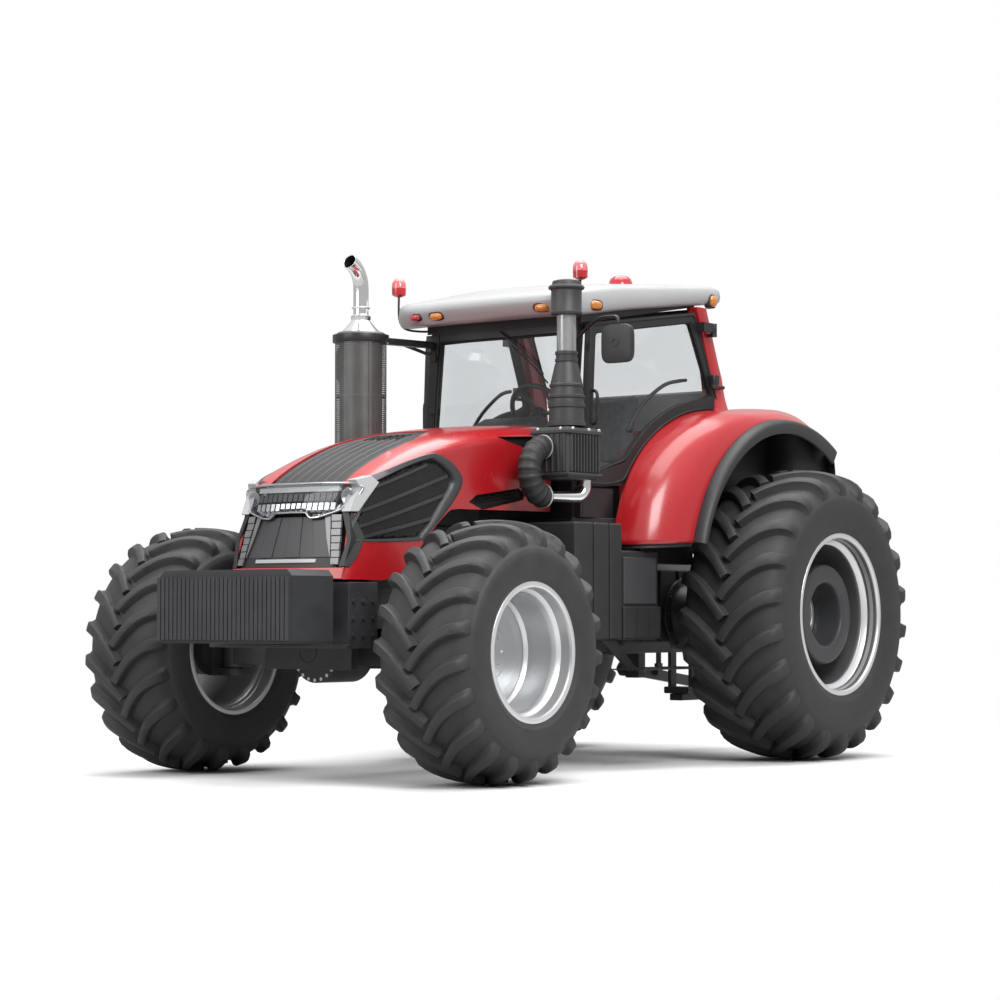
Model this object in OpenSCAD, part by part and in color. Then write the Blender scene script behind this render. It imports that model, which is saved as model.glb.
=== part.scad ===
// Four-wheel-drive farm tractor with a glazed cab, front ballast and a rear three-point hitch.
// Millimetres. X runs forward, Y to the left, Z up from the ground. The rear axle is the datum while
// modelling, in_frame() then moves the datum to the middle of the footprint.

/* [Wheels] */
// Distance between the axles
wheelbase = 3105; // [2950:5:3250]
// Distance between the middles of the front tyres
front_track = 2110; // [2060:2:2160]
// Distance between the middles of the rear tyres
rear_track = 2180; // [2140:2:2240]
// Front tyre diameter over the lugs
front_tyre_d = 1400; // [1340:2:1420]
// Rear tyre diameter over the lugs
rear_tyre_d = 1800; // [1740:2:1840]
// Front tyre section width
front_tyre_w = 620; // [560:2:630]
// Rear tyre section width
rear_tyre_w = 710; // [650:2:710]
// Front rim diameter over the flanges
front_rim_d = 745; // [725:1:760]
// Rear rim diameter over the flanges
rear_rim_d = 1000; // [980:1:1020]
// Distance from the middle of the tractor to a kingpin
kingpin_y = 760; // [755:1:775]

/* [Hood] */
// Half width of the hood at its widest
hood_half_w = 465; // [445:1:470]
// Height of the hood at the cab
hood_rear_z = 2020; // [1990:1:2030]
// Thickness of the hood panel
hood_wall = 14; // [10:1:18]
// Height of the hood hinge
hood_hinge_z = 1960; // [1950:1:1965]

/* [Cab] */
// Height of the cab floor
floor_z = 1470; // [1450:1:1480]
// Thickness of a door
door_t = 40; // [34:1:42]
// Thickness of the glass
glass_t = 10; // [6:1:12]
// Distance from the rear axle to the door hinges
door_hinge_x = 430; // [425:1:435]
// Distance from the middle of the tractor to the door hinges
door_hinge_y = 765; // [762:1:770]
// Width of the roof at the back
roof_w = 1470; // [1440:2:1480]

/* [Front end] */
// Width of the row of front weights
weights_w = 942; // [880:2:942]
// Length of the front weights
weights_l = 350; // [300:2:380]
// Width of the front support casting
bolster_w = 984; // [940:2:984]

/* [Hitch] */
// Length of a lower link between its eyes
link_l = 900; // [860:5:940]
// Distance from the middle of the tractor to a lower link
link_y = 410; // [400:1:425]
// Diameter of the bores in the lower link ends
link_bore_d = 37.4; // [28:0.2:38]
// Diameter of the drawbar pin hole
drawbar_bore_d = 33; // [26:0.5:38]
// Diameter of the power take-off stub
pto_d = 35; // [34:0.5:45]

/* [Hidden] */
$fn = 64;
// Gap between pieces that meet
fit = 0.3;
// Gap beside pieces that move
run = 6;
axle_z = rear_tyre_d / 2;
front_z = front_tyre_d / 2;
front_y = front_track / 2;
rear_y = rear_track / 2;
front_rim_half = front_tyre_w / 2 - 25;
rear_rim_half = rear_tyre_w / 2 - 30;
bolster_x = wheelbase + 255;
engine_end = wheelbase - 25;
bolster_l = 240;
weights_x = bolster_x + bolster_l + 100;
front_end = weights_x + weights_l;
hood_hinge_x = 1765;
link_x = -300;
link_z = 540;
link_end_z = 430;
eye_r = 48;
link_end_x = link_x - sqrt(link_l * link_l - pow(link_z - link_end_z, 2));
rear_end = link_end_x - eye_r;
mid_x = (front_end + rear_end) / 2;
gearbox_w = 440;
rear_box_w = 520;
engine_w = 480;
tank_y = 500;
tank_w = 350;
step_z = 585;
wall_y = 660;
wall_t = 30;
fender_y = 990;
flare_y = 1085;
fender_t = 25;
door_angle = 5.6;
door_face_y = 728;
floor_t = 35;
tank_top = floor_z - floor_t - 5;
cowl_x = 1600;
cowl_t = 50;
cowl_y = 550;
arm_x = -230;
arm_z = 1150;
arm_l = 430;
arm_drop = 60;
rod_drop = 560;

// Moves the datum from the rear axle to the middle of the footprint
module in_frame() {
    translate([-mid_x, 0, 0]) children();
}

module both_sides() {
    children();
    mirror([0, 1, 0]) children();
}

// Side outline in X and Z, drawn out from y0 to y1
module side_slab(points, y0, y1) {
    translate([0, y1, 0]) rotate([90, 0, 0]) linear_extrude(y1 - y0) polygon(points);
}

// Plan outline in X and Y, drawn up from z0 to z1
module plan_slab(points, z0, z1) {
    translate([0, 0, z0]) linear_extrude(z1 - z0) polygon(points);
}

// Front outline in Y and Z, drawn forward from x0 to x1
module front_slab(points, x0, x1) {
    translate([x0, 0, 0]) rotate([90, 0, 90]) linear_extrude(x1 - x0) polygon(points);
}

module block(p, q) {
    translate(p) cube(q - p);
}

module rod(p, q, r) {
    v = q - p;
    translate(p) rotate([0, acos(v[2] / norm(v)), atan2(v[1], v[0])]) cylinder(r = r, h = norm(v));
}

module strut(p, q, a, b) {
    v = q - p;
    translate(p) rotate([0, acos(v[2] / norm(v)), atan2(v[1], v[0])])
        translate([-a / 2, -b / 2, 0]) cube([a, b, norm(v)]);
}

// Turns a half section, given as radius and offset along the axle, round an axle along Y
module turned(points) {
    rotate([-90, 0, 0]) rotate_extrude($fn = 96) polygon(points);
}

function arc(c, r, a0, a1, n) = [for (i = [0:n]) let (a = a0 + (a1 - a0) * i / n)
    c + r * [cos(a), sin(a)]];
function mix(a, b, t) = a + (b - a) * t;
function flip(v) = [for (i = [len(v) - 1:-1:0]) v[i]];
function bezier(p, n) = [for (i = [0:n]) let (t = i / n, s = 1 - t)
    s * s * s * p[0] + 3 * s * s * t * p[1] + 3 * s * t * t * p[2] + t * t * t * p[3]];

// Skin of rows of points: outer rows and the inner rows behind them
module shell(outer, inner) {
    n = len(outer);
    k = len(outer[0]);
    m = n * k;
    points = concat([for (r = outer) for (p = r) p], [for (r = inner) for (p = r) p]);
    faces = concat(
        [for (i = [0:n - 2]) for (j = [0:k - 2]) each [
            [i * k + j, (i + 1) * k + j, (i + 1) * k + j + 1],
            [i * k + j, (i + 1) * k + j + 1, i * k + j + 1]]],
        [for (i = [0:n - 2]) for (j = [0:k - 2]) each [
            [m + i * k + j, m + (i + 1) * k + j + 1, m + (i + 1) * k + j],
            [m + i * k + j, m + i * k + j + 1, m + (i + 1) * k + j + 1]]],
        [for (i = [0:n - 2]) each [
            [i * k, m + i * k, m + (i + 1) * k],
            [i * k, m + (i + 1) * k, (i + 1) * k]]],
        [for (i = [0:n - 2]) each [
            [i * k + k - 1, m + (i + 1) * k + k - 1, m + i * k + k - 1],
            [i * k + k - 1, (i + 1) * k + k - 1, m + (i + 1) * k + k - 1]]],
        [for (j = [0:k - 2]) each [[j, j + 1, m + j + 1], [j, m + j + 1, m + j]]],
        [for (j = [0:k - 2]) let (e = (n - 1) * k + j) each [[e, m + e + 1, e + 1], [e, m + e, m + e + 1]]]);
    polyhedron(points, faces, convexity = 6);
}

// Frame, engine and driveline

module front_frame() color("#3a3b3d") {
    rail_y = engine_w / 2 + 70;
    difference() {
        union() {
            both_sides() block([2060, engine_w / 2 + fit, front_z + 120], [bolster_x, rail_y, front_z + 340]);
            block([wheelbase - 160, -rail_y, front_z - 100], [wheelbase - 110, rail_y, front_z + 195]);
            block([bolster_x - 60, -rail_y, front_z - 100], [bolster_x, rail_y, front_z + 340]);
            block([bolster_x, -bolster_w / 2, 740], [bolster_x + bolster_l, bolster_w / 2, 1070]);
            block([bolster_x, -bolster_w / 2, 720], [bolster_x + bolster_l + 20, bolster_w / 2, 740]);
            block([bolster_x + bolster_l, -140, 820], [weights_x - fit, 140, 1030]);
        }
        rod([wheelbase - 200, 0, front_z], [bolster_x + 40, 0, front_z], 60 + fit);
    }
}

module front_weights() color("#2e3033") {
    ribs = 31;
    pitch = weights_w / ribs;
    front_slab(concat([[-weights_w / 2, 1100], [-weights_w / 2, 760], [-weights_w / 2 + 13, 747]],
        [[weights_w / 2 - 13, 747], [weights_w / 2, 760], [weights_w / 2, 1100]],
        [[weights_w / 2 - 33, 1133], [-weights_w / 2 + 33, 1133]]), weights_x, front_end - 25);
    for (i = [0:ribs - 1])
        translate([front_end - 26, -weights_w / 2 + i * pitch + 3, 765]) cube([26, pitch - 6, 330]);
}

module engine_block() color("#3c3e40") {
    block([2050, -engine_w / 2, front_z + 200], [engine_end, engine_w / 2, 1400]);
    block([2080, -200, 1399], [engine_end - 80, 200, 1600]);
    block([2080, -190, front_z + 40], [engine_end - 180, 190, front_z + 201]);
    block([engine_end, -330, 1075], [engine_end + 160, 330, 1520]);
}

module gearbox_housing() color("#38393b") {
    difference() {
        union() {
            block([-350, -rear_box_w / 2, 560], [700, rear_box_w / 2, 1250]);
            block([699, -gearbox_w / 2, 600], [2050 - fit, gearbox_w / 2, 1150]);
            both_sides() rod([0, rear_box_w / 2 - 1, axle_z], [0, 620, axle_z], 170);
            both_sides() rod([0, 619, axle_z], [0, 800, axle_z], 140);
            both_sides() block([link_x - 40, rear_box_w / 2 - 1, link_z - 60],
                [link_x + 60, link_y - 45, link_z + 60]);
            both_sides() rod([link_x, link_y - 46, link_z], [link_x, link_y + 45, link_z], 24);
            both_sides() rod([arm_x, 200, arm_z], [arm_x, 345, arm_z], 45);
            block([-420, -60, 380], [200, 60, 430]);
            block([-200, -90, 429], [100, 90, 561]);
            block([-440, -90, 940], [-349, 90, 1100]);
        }
        both_sides() rod([0, 680, axle_z], [0, 801, axle_z], 60 + fit);
        block([-441, -32, 939], [-370, 32, 1101]);
        rod([-405, -100, 1020], [-405, 100, 1020], 12 + fit);
    }
}

module front_axle() color("#343638") {
    difference() {
        union() {
            rod([wheelbase - 110 + fit, 0, front_z - 10], [bolster_x - 60 - fit, 0, front_z - 10], 165);
            rod([wheelbase - 160, 0, front_z], [bolster_x, 0, front_z], 60);
            both_sides()
                block([wheelbase - 75, 100, front_z - 80], [wheelbase + 75, kingpin_y - 40, front_z + 70]);
            both_sides() translate([wheelbase, kingpin_y, front_z - 100]) cylinder(r = 75, h = 200);
        }
        both_sides() translate([wheelbase, kingpin_y, 0]) cylinder(r = 35 + fit, h = 1000);
    }
}

// Steered knuckle with its kingpin, final drive and spindle
module knuckle() color("#343638") {
    translate([wheelbase, kingpin_y, front_z]) {
        translate([0, 0, -146]) cylinder(r = 35, h = 292);
        for (z = [-146, 106]) {
            translate([0, 0, z]) cylinder(r = 75, h = 40);
            translate([-75, 0, z]) cube([150, 82, 40]);
        }
        translate([-110, 81, -146]) cube([220, 44, 292]);
        rotate([-90, 0, 0]) translate([0, 0, 125]) cylinder(r = 150, h = 75);
        rotate([-90, 0, 0]) translate([0, 0, 200]) cylinder(r = 70, h = 80);
    }
}

// Wheels

// Half outline of a tyre without its bars, from the bead to the middle of the tread
function tyre_side(r, w, bead, half, tread) = concat(
    [[bead, half - 10 - fit], [bead + 30, half - 10 - fit]],
    bezier([[bead + 40, half - 4], [bead + 60, w / 2 + 4], [mix(bead, r, 0.5), w / 2 + 4],
        [mix(bead, r, 0.68), w / 2 - 8]], 5),
    [[mix(bead, r, 0.86), w / 2 - 34], [r - 16, tread - 14], [r, tread * 0.4]]);

// Stations along a bar: offset from the middle, height under the tyre's radius, sweep, half width at the top
function bar_rows(r, w, tread, tall) = [[-10, 0, 0, 24], [tread * 0.45, 3, 0.66, 26], [tread * 0.92, 14, 0.93, 32],
    [w / 2 - 14, tall + 46, 1, 36]];

// One tread bar, curved from the middle of the tread to the shoulder
module bar(r, w, tread, tall, sweep) {
    rows = bar_rows(r, w, tread, tall);
    n = len(rows);
    at = function (s, side, low) let (h = low ? r - s[1] - tall - 30 : r - s[1],
        y = low ? s[0] - (s[0] > w / 3 ? 40 : 0) : s[0],
        a = sweep * s[2] + side * (s[3] + (low ? 12 : 0)) / r * 57.3)
        [h * cos(a), y, h * sin(a)];
    points = [for (s = rows) each [at(s, -1, false), at(s, 1, false), at(s, 1, true), at(s, -1, true)]];
    faces = concat([[3, 2, 1, 0]], [for (i = [0:n - 2]) for (j = [0:3]) each [
        [4 * i + j, 4 * i + (j + 1) % 4, 4 * i + 4 + j],
        [4 * i + (j + 1) % 4, 4 * i + 4 + (j + 1) % 4, 4 * i + 4 + j]]],
        [[4 * n - 4, 4 * n - 3, 4 * n - 2, 4 * n - 1]]);
    polyhedron(points, faces, convexity = 4);
}

module tyre(r, w, bead, half, tread, wall, bars, tall, sweep) color("#26272a") {
    core = r - tall;
    side = tyre_side(core, w, bead, half, tread);
    back = concat([[bead, half - 70], [mix(bead, core, 0.35), w / 2 - wall - 5]],
        [[mix(bead, core, 0.7), w / 2 - wall - 20], [core - wall - 40, tread - 50], [core - wall - 30, 0]]);
    turned(concat(side, [for (p = flip(side)) [p[0], -p[1]]],
        [for (p = back) [p[0], -p[1]]], [for (i = [3:-1:0]) back[i]]));
    first = 90 + 24 / r * 57.3;
    for (i = [0:bars - 1]) {
        rotate([0, first - 360 * i / bars, 0]) bar(r, w, tread, tall, sweep);
        rotate([0, first - 360 * (i + 0.5) / bars, 0]) mirror([0, 1, 0]) bar(r, w, tread, tall, sweep);
    }
}

module front_tyre() {
    translate([wheelbase, front_y, front_z]) tyre(front_z, front_tyre_w, front_rim_d / 2 - 17, front_rim_half,
        270, 26, 21, 44, 19);
}

module rear_tyre() {
    translate([0, rear_y, axle_z])
        tyre(axle_z, rear_tyre_w, rear_rim_d / 2 - 18, rear_rim_half, 312, 30, 22, 52, 18);
}

// Barrel of a rim with its flanges, seats and well
module barrel(r, half) {
    seat = r - 18 - fit;
    turned(concat([[r, half], [r, half - 10], [seat, half - 10], [seat, half - 75], [seat - 34, half - 100]],
        [[seat - 34, -half + 100], [seat, -half + 75], [seat, -half + 10], [r, -half + 10], [r, -half]],
        [[seat - 14, -half], [seat - 14, -half + 82], [seat - 48, -half + 108]],
        [[seat - 48, half - 108], [seat - 14, half - 82], [seat - 14, half]]));
}

module front_rim() color("#c9ccd0") translate([wheelbase, front_y, front_z]) {
    inner = front_rim_d / 2 - 18 - 48;
    barrel(front_rim_d / 2, front_rim_half);
    turned(concat([[70 + fit, kingpin_y + 206 - front_y], [135, kingpin_y + 206 - front_y], [135, -20]],
        [[inner + 4, -20], [inner + 4, 2], [230, 12], [160, 40], [150, 75], [0, 80], [0, 0], [70 + fit, 0]]));
}

module rear_rim() color("#b9bcc0") translate([0, rear_y, axle_z]) {
    inner = rear_rim_d / 2 - 18 - 48;
    barrel(rear_rim_d / 2, rear_rim_half);
    turned(concat([[0, 694 - rear_y], [60, 694 - rear_y], [60, 806 - rear_y], [175, 806 - rear_y]],
        [[175, -110], [330, -70], [inner + 4, -70], [inner + 4, -44], [318, -44], [310, 220]],
        [[190, 220], [190, -40], [0, -40]]));
}

// Hood, open below, with its vents, grilles and lamps

// Station, height on the middle line, shoulder height, half width, lower edge, forward lean, inset of that edge
hood_rows = [[1735, hood_rear_z, 1935, hood_half_w, 1500, 0, 12],
    [2150, hood_rear_z - 28, 1890, hood_half_w, 1495, 0, 12],
    [2450, hood_rear_z - 66, 1845, hood_half_w, 1490, 0, 12],
    [2680, hood_rear_z - 108, 1800, hood_half_w, 1480, 0, 12],
    [2860, hood_rear_z - 158, 1760, hood_half_w - 3, 1330, 20, 10],
    [3020, hood_rear_z - 216, 1712, hood_half_w - 7, 1150, 40, 8],
    [3170, hood_rear_z - 282, 1665, hood_half_w - 15, 1085, 70, 4],
    [3290, hood_rear_z - 346, 1620, hood_half_w - 30, 1085, 100, 0],
    [3370, hood_rear_z - 398, 1580, hood_half_w - 56, 1085, 125, -12],
    [3410, hood_rear_z - 430, 1560, hood_half_w - 90, 1085, 135, -28]];

function hood_half(s, inset) = concat(
    [for (t = [0, 0.25, 0.5, 0.75]) [mix(s[3] - s[6], s[3], sin(90 * t)) - inset, mix(s[4], s[2], t)]],
    [for (a = [0:15:90]) [(s[3] - inset) * pow(cos(a), 0.62), s[2] + (s[1] - s[2] - inset) * pow(sin(a), 0.8)]]);
function hood_row(s, inset) = let (h = hood_half(s, inset), f = flip(h))
    [for (p = concat(h, [for (i = [1:len(f) - 1]) [-f[i][0], f[i][1]]]))
        [s[0] + s[5] * (s[1] - p[1]) / (s[1] - s[4]), p[0], p[1]]];

module hood_skin(inset, wall) {
    shell([for (s = hood_rows) hood_row(s, inset)], [for (s = hood_rows) hood_row(s, inset + wall)]);
}

function vent_outline(g) = [[3600, 262 + g], [2810 - g, 285 + g], [2480 - g, 170 + g], [2480 - g, -170 - g],
    [2810 - g, -285 - g], [3600, -262 - g]];
function grille_outline(g) = [[3355 + g, 1610 + g], [2790, 1748 + g], [2670 - g, 1660], [2890 - g, 1345 - g],
    [3440 + g, 1285 - g], [3425 + g, 1440]];

module hood_shell() color("#b3121c") {
    difference() {
        hood_skin(0, hood_wall);
        plan_slab(vent_outline(fit), 1500, 2100);
        side_slab(grille_outline(fit), -700, 700);
    }
    side_slab([[nose_x(1145) - 2, 1145], [nose_x(1085) - 2, 1085],
        [nose_x(1085) - 40, 1085], [nose_x(1145) - 40, 1145]],
        -hood_half_w + 70, hood_half_w - 70);
    both_sides() difference() {
        block([1741, 250, hood_hinge_z - 18], [1789, 290, hood_rear_z - 12]);
        rod([hood_hinge_x, 240, hood_hinge_z], [hood_hinge_x, 300, hood_hinge_z], 10.05);
    }
}

module hood_vent() color("#1d1e20") intersection() {
    hood_skin(3, hood_wall - 4);
    plan_slab(vent_outline(0), 1500, 2100);
}

// Slanted slots leave the bars of the side grilles
module side_grilles() color("#1b1c1e") difference() {
    intersection() {
        hood_skin(4, hood_wall - 6);
        side_slab(grille_outline(0), -700, 700);
    }
    for (i = [0:2])
        side_slab([[3320, 1350 + 75 * i], [3320, 1385 + 75 * i],
            [2870 - 20 * i, 1470 + 90 * i], [2870 - 20 * i, 1435 + 90 * i]],
            -700, 700);
}

// Front face of the nose at a height
function nose_x(z) = 3410 + 135 * (1590 - z) / 505;

// Slab along the leaning front of the nose, between two heights and two depths behind its face
module nose_slab(z0, z1, front, back, y) {
    side_slab([[nose_x(z0) - front, z0], [nose_x(z1) - front, z1],
        [nose_x(z1) - back, z1], [nose_x(z0) - back, z0]], -y, y);
}

module nose_grille() color("#3a3c40") difference() {
    nose_slab(1145 + fit, 1440, 0, 30, 345);
    for (i = [-2:2]) block([3300, i * 90 - 10, 1215], [3700, i * 90 + 10, 1415]);
    nose_slab(1178, 1196, -5, 12, 215);
}

// One wide lamp whose lower edge steps up in the middle
module headlamps() color("#d5d8dc") difference() {
    nose_slab(1440 + fit, 1560, 6, 60, 352);
    block([3300, -110, 1400], [3700, 110, 1456]);
    for (i = [-7:7]) block([nose_x(1500) - 30, i * 38 - 13, 1498], [3700, i * 38 + 13, 1536]);
}

// Exhaust on the right, intake on the left

module exhaust_muffler() color("#2c2d2f") {
    rod([2135, -660, 1480], [2135, -660, 2590], 155);
    rod([2135, -660, 1285], [2135, -660, 1481], 60);
    rod([2135, -660, 1345], [2135, -engine_w / 2 - fit, 1345], 50);
}

module exhaust_pipe() color("#c6c8ca") translate([2135, -660, 0]) {
    difference() {
        union() {
            translate([0, 0, 2590 + fit]) cylinder(r1 = 120, r2 = 50, h = 70);
            translate([0, 0, 2650]) cylinder(r = 48, h = 220);
            translate([160, 0, 2860]) rotate([90, 0, 0]) rotate([0, 0, 110])
                rotate_extrude(angle = 70) translate([160, 0]) circle(46);
        }
        translate([160, 0, 2860]) rotate([90, 0, 0]) rotate([0, 0, 104])
            rotate_extrude(angle = 40) translate([160, 0]) circle(41);
    }
}

module exhaust_bracket() color("#1c1d1f") difference() {
    union() {
        translate([2135, -660, 2530]) cylinder(r = 170, h = 45);
        strut([2060, -640, 2552], [1600, -535, 2552], 40, 44);
    }
    translate([2135, -660, 2500]) cylinder(r = 155 + fit, h = 100);
    block([1500, -700, 2500], [cowl_face(2552) + fit, -400, 2600]);
}

module air_cleaner() color("#242628") {
    difference() {
        block([1715, 530, 1665], [2055, 825, 1980]);
        for (x = [1755:50:2015]) block([x - 14, 817, 1700], [x + 14, 826, 1945]);
    }
    block([cowl_x + cowl_t + fit, 500, 1700], [1720, 545, 1900]);
}

module intake_stack() color("#55585b") translate([1900, 690, 0]) {
    translate([0, 0, 1980 + fit]) cylinder(r = 105, h = 160);
    translate([0, 0, 2140]) cylinder(r1 = 105, r2 = 62, h = 220);
    translate([0, 0, 2359]) cylinder(r = 57, h = 265);
    translate([0, 0, 2623]) cylinder(r = 108, h = 30);
    translate([0, 0, 2652]) cylinder(r1 = 98, r2 = 92, h = 150);
    translate([0, 0, 2801]) cylinder(r1 = 92, r2 = 70, h = 30);
}

// Middle and radius of the bend of the hose
hose_mid = [2055 + fit, 640, 1715];
hose_r = 140;

module intake_hose() color("#202124") translate(hose_mid) rotate([90, 0, 0]) {
    rotate([0, 0, -90]) rotate_extrude(angle = 180) translate([hose_r, 0]) circle(70);
    translate([0, hose_r, 0]) rotate([0, 90, 0]) cylinder(r = 70, h = 30);
}

module intake_pipe() color("#cfd1d3") {
    bend = [1790, hose_mid[1], hose_mid[2] - hose_r];
    rod([hose_mid[0] - fit, bend[1], bend[2]], bend, 28);
    translate(bend) sphere(34);
    rod(bend, [bend[0], bend[1], 1665 - fit], 28);
}

// Tanks and steps beside the gearbox

module fuel_tanks() color("#2a2c2f") both_sides() {
    difference() {
        union() {
            side_slab([[1560, 750], [2000, 750], [2040, 790],
                [2040, tank_top - 40], [2000, tank_top], [1560, tank_top]],
                tank_y, tank_y + tank_w);
            side_slab([[1150, 750], [1561, 750], [1561, 1275], [1170, 1275], [1150, 1255]], tank_y - 60,
                tank_y + tank_w);
        }
        block([1190, tank_y + tank_w - 25, 960], [1530, tank_y + tank_w + 1, 1230]);
        for (x = [1690, 1850]) block([x - 12, tank_y + tank_w - 14, 740], [x + 12, tank_y + tank_w + 1, 1440]);
    }
    for (x = [1300, 1800]) block([x, gearbox_w / 2 + fit, 800], [x + 80, tank_y + 10, 880]);
}

module steps() color("#17181a") both_sides() {
    block([1000, 800, step_z - 8], [1460, 1020, step_z]);
    side_slab([[1640, 750 - fit], [1560, 750 - fit], [1340, step_z - 1], [1420, step_z - 1]], 800, 815);
}

// Cab

// Front face of the windscreen pillars at a height
function cowl_face(z) = cowl_x + cowl_t - 62 * max(0, z - 1990) / 630;

module cab_floor() color("#232426") {
    plan_slab([[130, -wall_y + fit], [1300, -wall_y + fit],
        [cowl_x + cowl_t, -cowl_y], [cowl_x + cowl_t, cowl_y],
        [1300, wall_y - fit], [130, wall_y - fit]], floor_z - floor_t, floor_z);
    both_sides() block([350, 120, 1250 + fit], [470, 220, floor_z - floor_t + 1]);
    both_sides() block([1380, 100, 1150 + fit], [1500, 200, floor_z - floor_t + 1]);
}

module cab_front_frame() color("#17181a") {
    block([cowl_x, -cowl_y, floor_z + fit], [cowl_x + cowl_t, cowl_y, 1990]);
    both_sides() side_slab([[cowl_face(2620) - 62, 2620], [cowl_x - 5, 1980], [cowl_x + cowl_t, 1980],
        [cowl_face(2620), 2620]], cowl_y - 60, cowl_y);
    block([cowl_face(2620) - 62, -cowl_y, 2570], [cowl_face(2620) - 2, cowl_y, 2620]);
    both_sides() difference() {
        strut([cowl_face(2600) - 40, cowl_y - 30, 2595], [pillar_x(2745) - 68, 607, 2755], 50, 60);
        block([300, 500, 2700], [pillar_x(2745) - 60 + fit, 700, 2850]);
    }
    both_sides() plan_slab([[1330, 572], [1330, 622], [cowl_x - fit, 592], [cowl_x - fit, 540]],
        floor_z + fit, 1645);
    both_sides() block([cowl_x - 2, 540, floor_z + fit], [cowl_x + 20, 590, 1645]);
    hood_hinges();
}

// Hinge of the hood, on the front of the cab
module hood_hinges() both_sides() {
    side_slab([[cowl_x + cowl_t - 1, 1880], [1740, hood_hinge_z - 24], [1780, hood_hinge_z - 24],
        [1785, hood_hinge_z], [1775, hood_hinge_z + 14], [1755, hood_hinge_z + 14], [1735, hood_hinge_z - 10],
        [cowl_x + cowl_t - 1, hood_hinge_z - 15]], 298, 314);
    rod([hood_hinge_x, 246, hood_hinge_z], [hood_hinge_x, 299, hood_hinge_z], 10);
}

module windscreen() color("#bcd0d8") {
    side_slab([[cowl_x + 20, 1990 + fit], [cowl_x + 20 + glass_t, 1990 + fit],
        [cowl_x - 38 + glass_t, 2570 - fit], [cowl_x - 38, 2570 - fit]], -cowl_y + 60 + fit, cowl_y - 60 - fit);
}

// Front edge of the rear pillar at a height
function pillar_x(z) = 300 + 0.40625 * (z - 2160);

module cab_rear_frame() color("#b3121c") {
    block([130, -wall_y + fit, floor_z + fit], [180, wall_y - fit, 2100]);
    both_sides() side_slab([[pillar_x(2160) - 130, 2160], [pillar_x(2160), 2160], [pillar_x(2800), 2800],
        [pillar_x(2800) - 130, 2800]], 640, 720);
    both_sides() block([130, 640, 2099], [260, wall_y - fit, 2170]);
    block([pillar_x(2745) - 130, -641, 2745], [pillar_x(2745) - 60, 641, 2800]);
    both_sides() for (z = [2300, 2620]) {
        block([pillar_x(z) - 60, 719, z], [pillar_x(z) - 8, door_hinge_y + 14, z + 24]);
        translate([door_hinge_x, door_hinge_y, z]) cylinder(r = 20, h = 24);
        block([min(pillar_x(z) - 60, door_hinge_x), door_hinge_y - 14, z],
            [max(pillar_x(z) - 8, door_hinge_x), door_hinge_y + 14, z + 24]);
        translate([door_hinge_x, door_hinge_y, z]) cylinder(r = 10, h = 84);
    }
}

module rear_window() color("#bcd0d8") {
    side_slab([[150, 2100 + fit], [150 + glass_t, 2100 + fit], [pillar_x(2745) - 95 + glass_t, 2745 - fit],
        [pillar_x(2745) - 95, 2745 - fit]], -640 + fit, 640 - fit);
}

module roof() color("#dfe1e0") intersection() {
    side_slab(concat([[300, 2800 + fit], [pillar_x(2800) + 10, 2800 + fit],
        [cowl_face(2620) - 30, 2620 + fit], [1740, 2640], [1850, 2700]],
        bezier([[1862, 2730], [1855, 2790], [1700, 2825], [1500, 2860]], 5),
        bezier([[1000, 2945], [700, 2985], [420, 3010], [330, 2960]], 5), [[270, 2870]]), -800, 800);
    plan_slab(concat([[270, roof_w / 2 - 60], [330, roof_w / 2], [1560, roof_w / 2 - 65]],
        bezier([[1700, roof_w / 2 - 80], [1790, roof_w / 2 - 110], [1830, 480], [1850, 300]], 5),
        [[1862, 0]],
        flip(bezier([[1700, 80 - roof_w / 2], [1790, 110 - roof_w / 2], [1830, -480], [1850, -300]], 5)),
        [[1560, 65 - roof_w / 2], [330, -roof_w / 2], [270, 60 - roof_w / 2]]), 2500, 3100);
}

// Lamps along the front edge and at the corners of the roof
module roof_lamps() color("#e08a1c") {
    difference() {
        union() {
            for (y = [-500, -350, 470]) rod([1790, y, 2712], [1872, y, 2706], 26);
            both_sides() rod([1600, roof_w / 2 - 120, 2712], [1608, roof_w / 2 - 47, 2704], 28);
            both_sides() rod([385, roof_w / 2 - 90, 2842], [385, roof_w / 2 + 22, 2838], 34);
        }
        roof();
    }
}

module beacon() color("#c01822") translate([420, 60, 0]) {
    difference() {
        translate([0, 0, 2950]) cylinder(r = 78, h = 62);
        translate([-420, -60, 0]) roof();
    }
    translate([0, 0, 3011]) cylinder(r1 = 74, r2 = 64, h = 30);
    translate([0, 0, 3040]) cylinder(r1 = 64, r2 = 30, h = 20);
}

// Red markers on short stalks
module marker_lamps() color("#c01822") both_sides() translate([1640, roof_w / 2 - 135, 0]) {
    difference() {
        translate([0, 0, 2780]) cylinder(r = 9, h = 90);
        translate([-1640, 135 - roof_w / 2, 0]) roof();
    }
    translate([0, 0, 2862]) cylinder(r1 = 30, r2 = 44, h = 12);
    translate([0, 0, 2873]) cylinder(r = 44, h = 58);
    translate([0, 0, 2930]) cylinder(r1 = 44, r2 = 18, h = 46);
}

// Door of the left side, drawn closed. The outer face stands in the plane y = 0 of its own frame.
door_arch = arc([380, 1130], 1038, 31, 90, 7);
door_edge = concat([[1450, 1655], [1580, 1655], [1598, 1680], [1598, 1990], [1562, 2618], [570, 2764]],
    [[pillar_x(2200) + 14, 2200], [pillar_x(2176) + 20, 2176]], flip(door_arch), [[1330, 1665]]);
glass_edge = concat([[1520, 1735], [1545, 1990], [1512, 2565], [608, 2700]],
    [[pillar_x(2260) + 58, 2260]], flip(arc([380, 1130], 1100, 38, 84, 6)));

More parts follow.
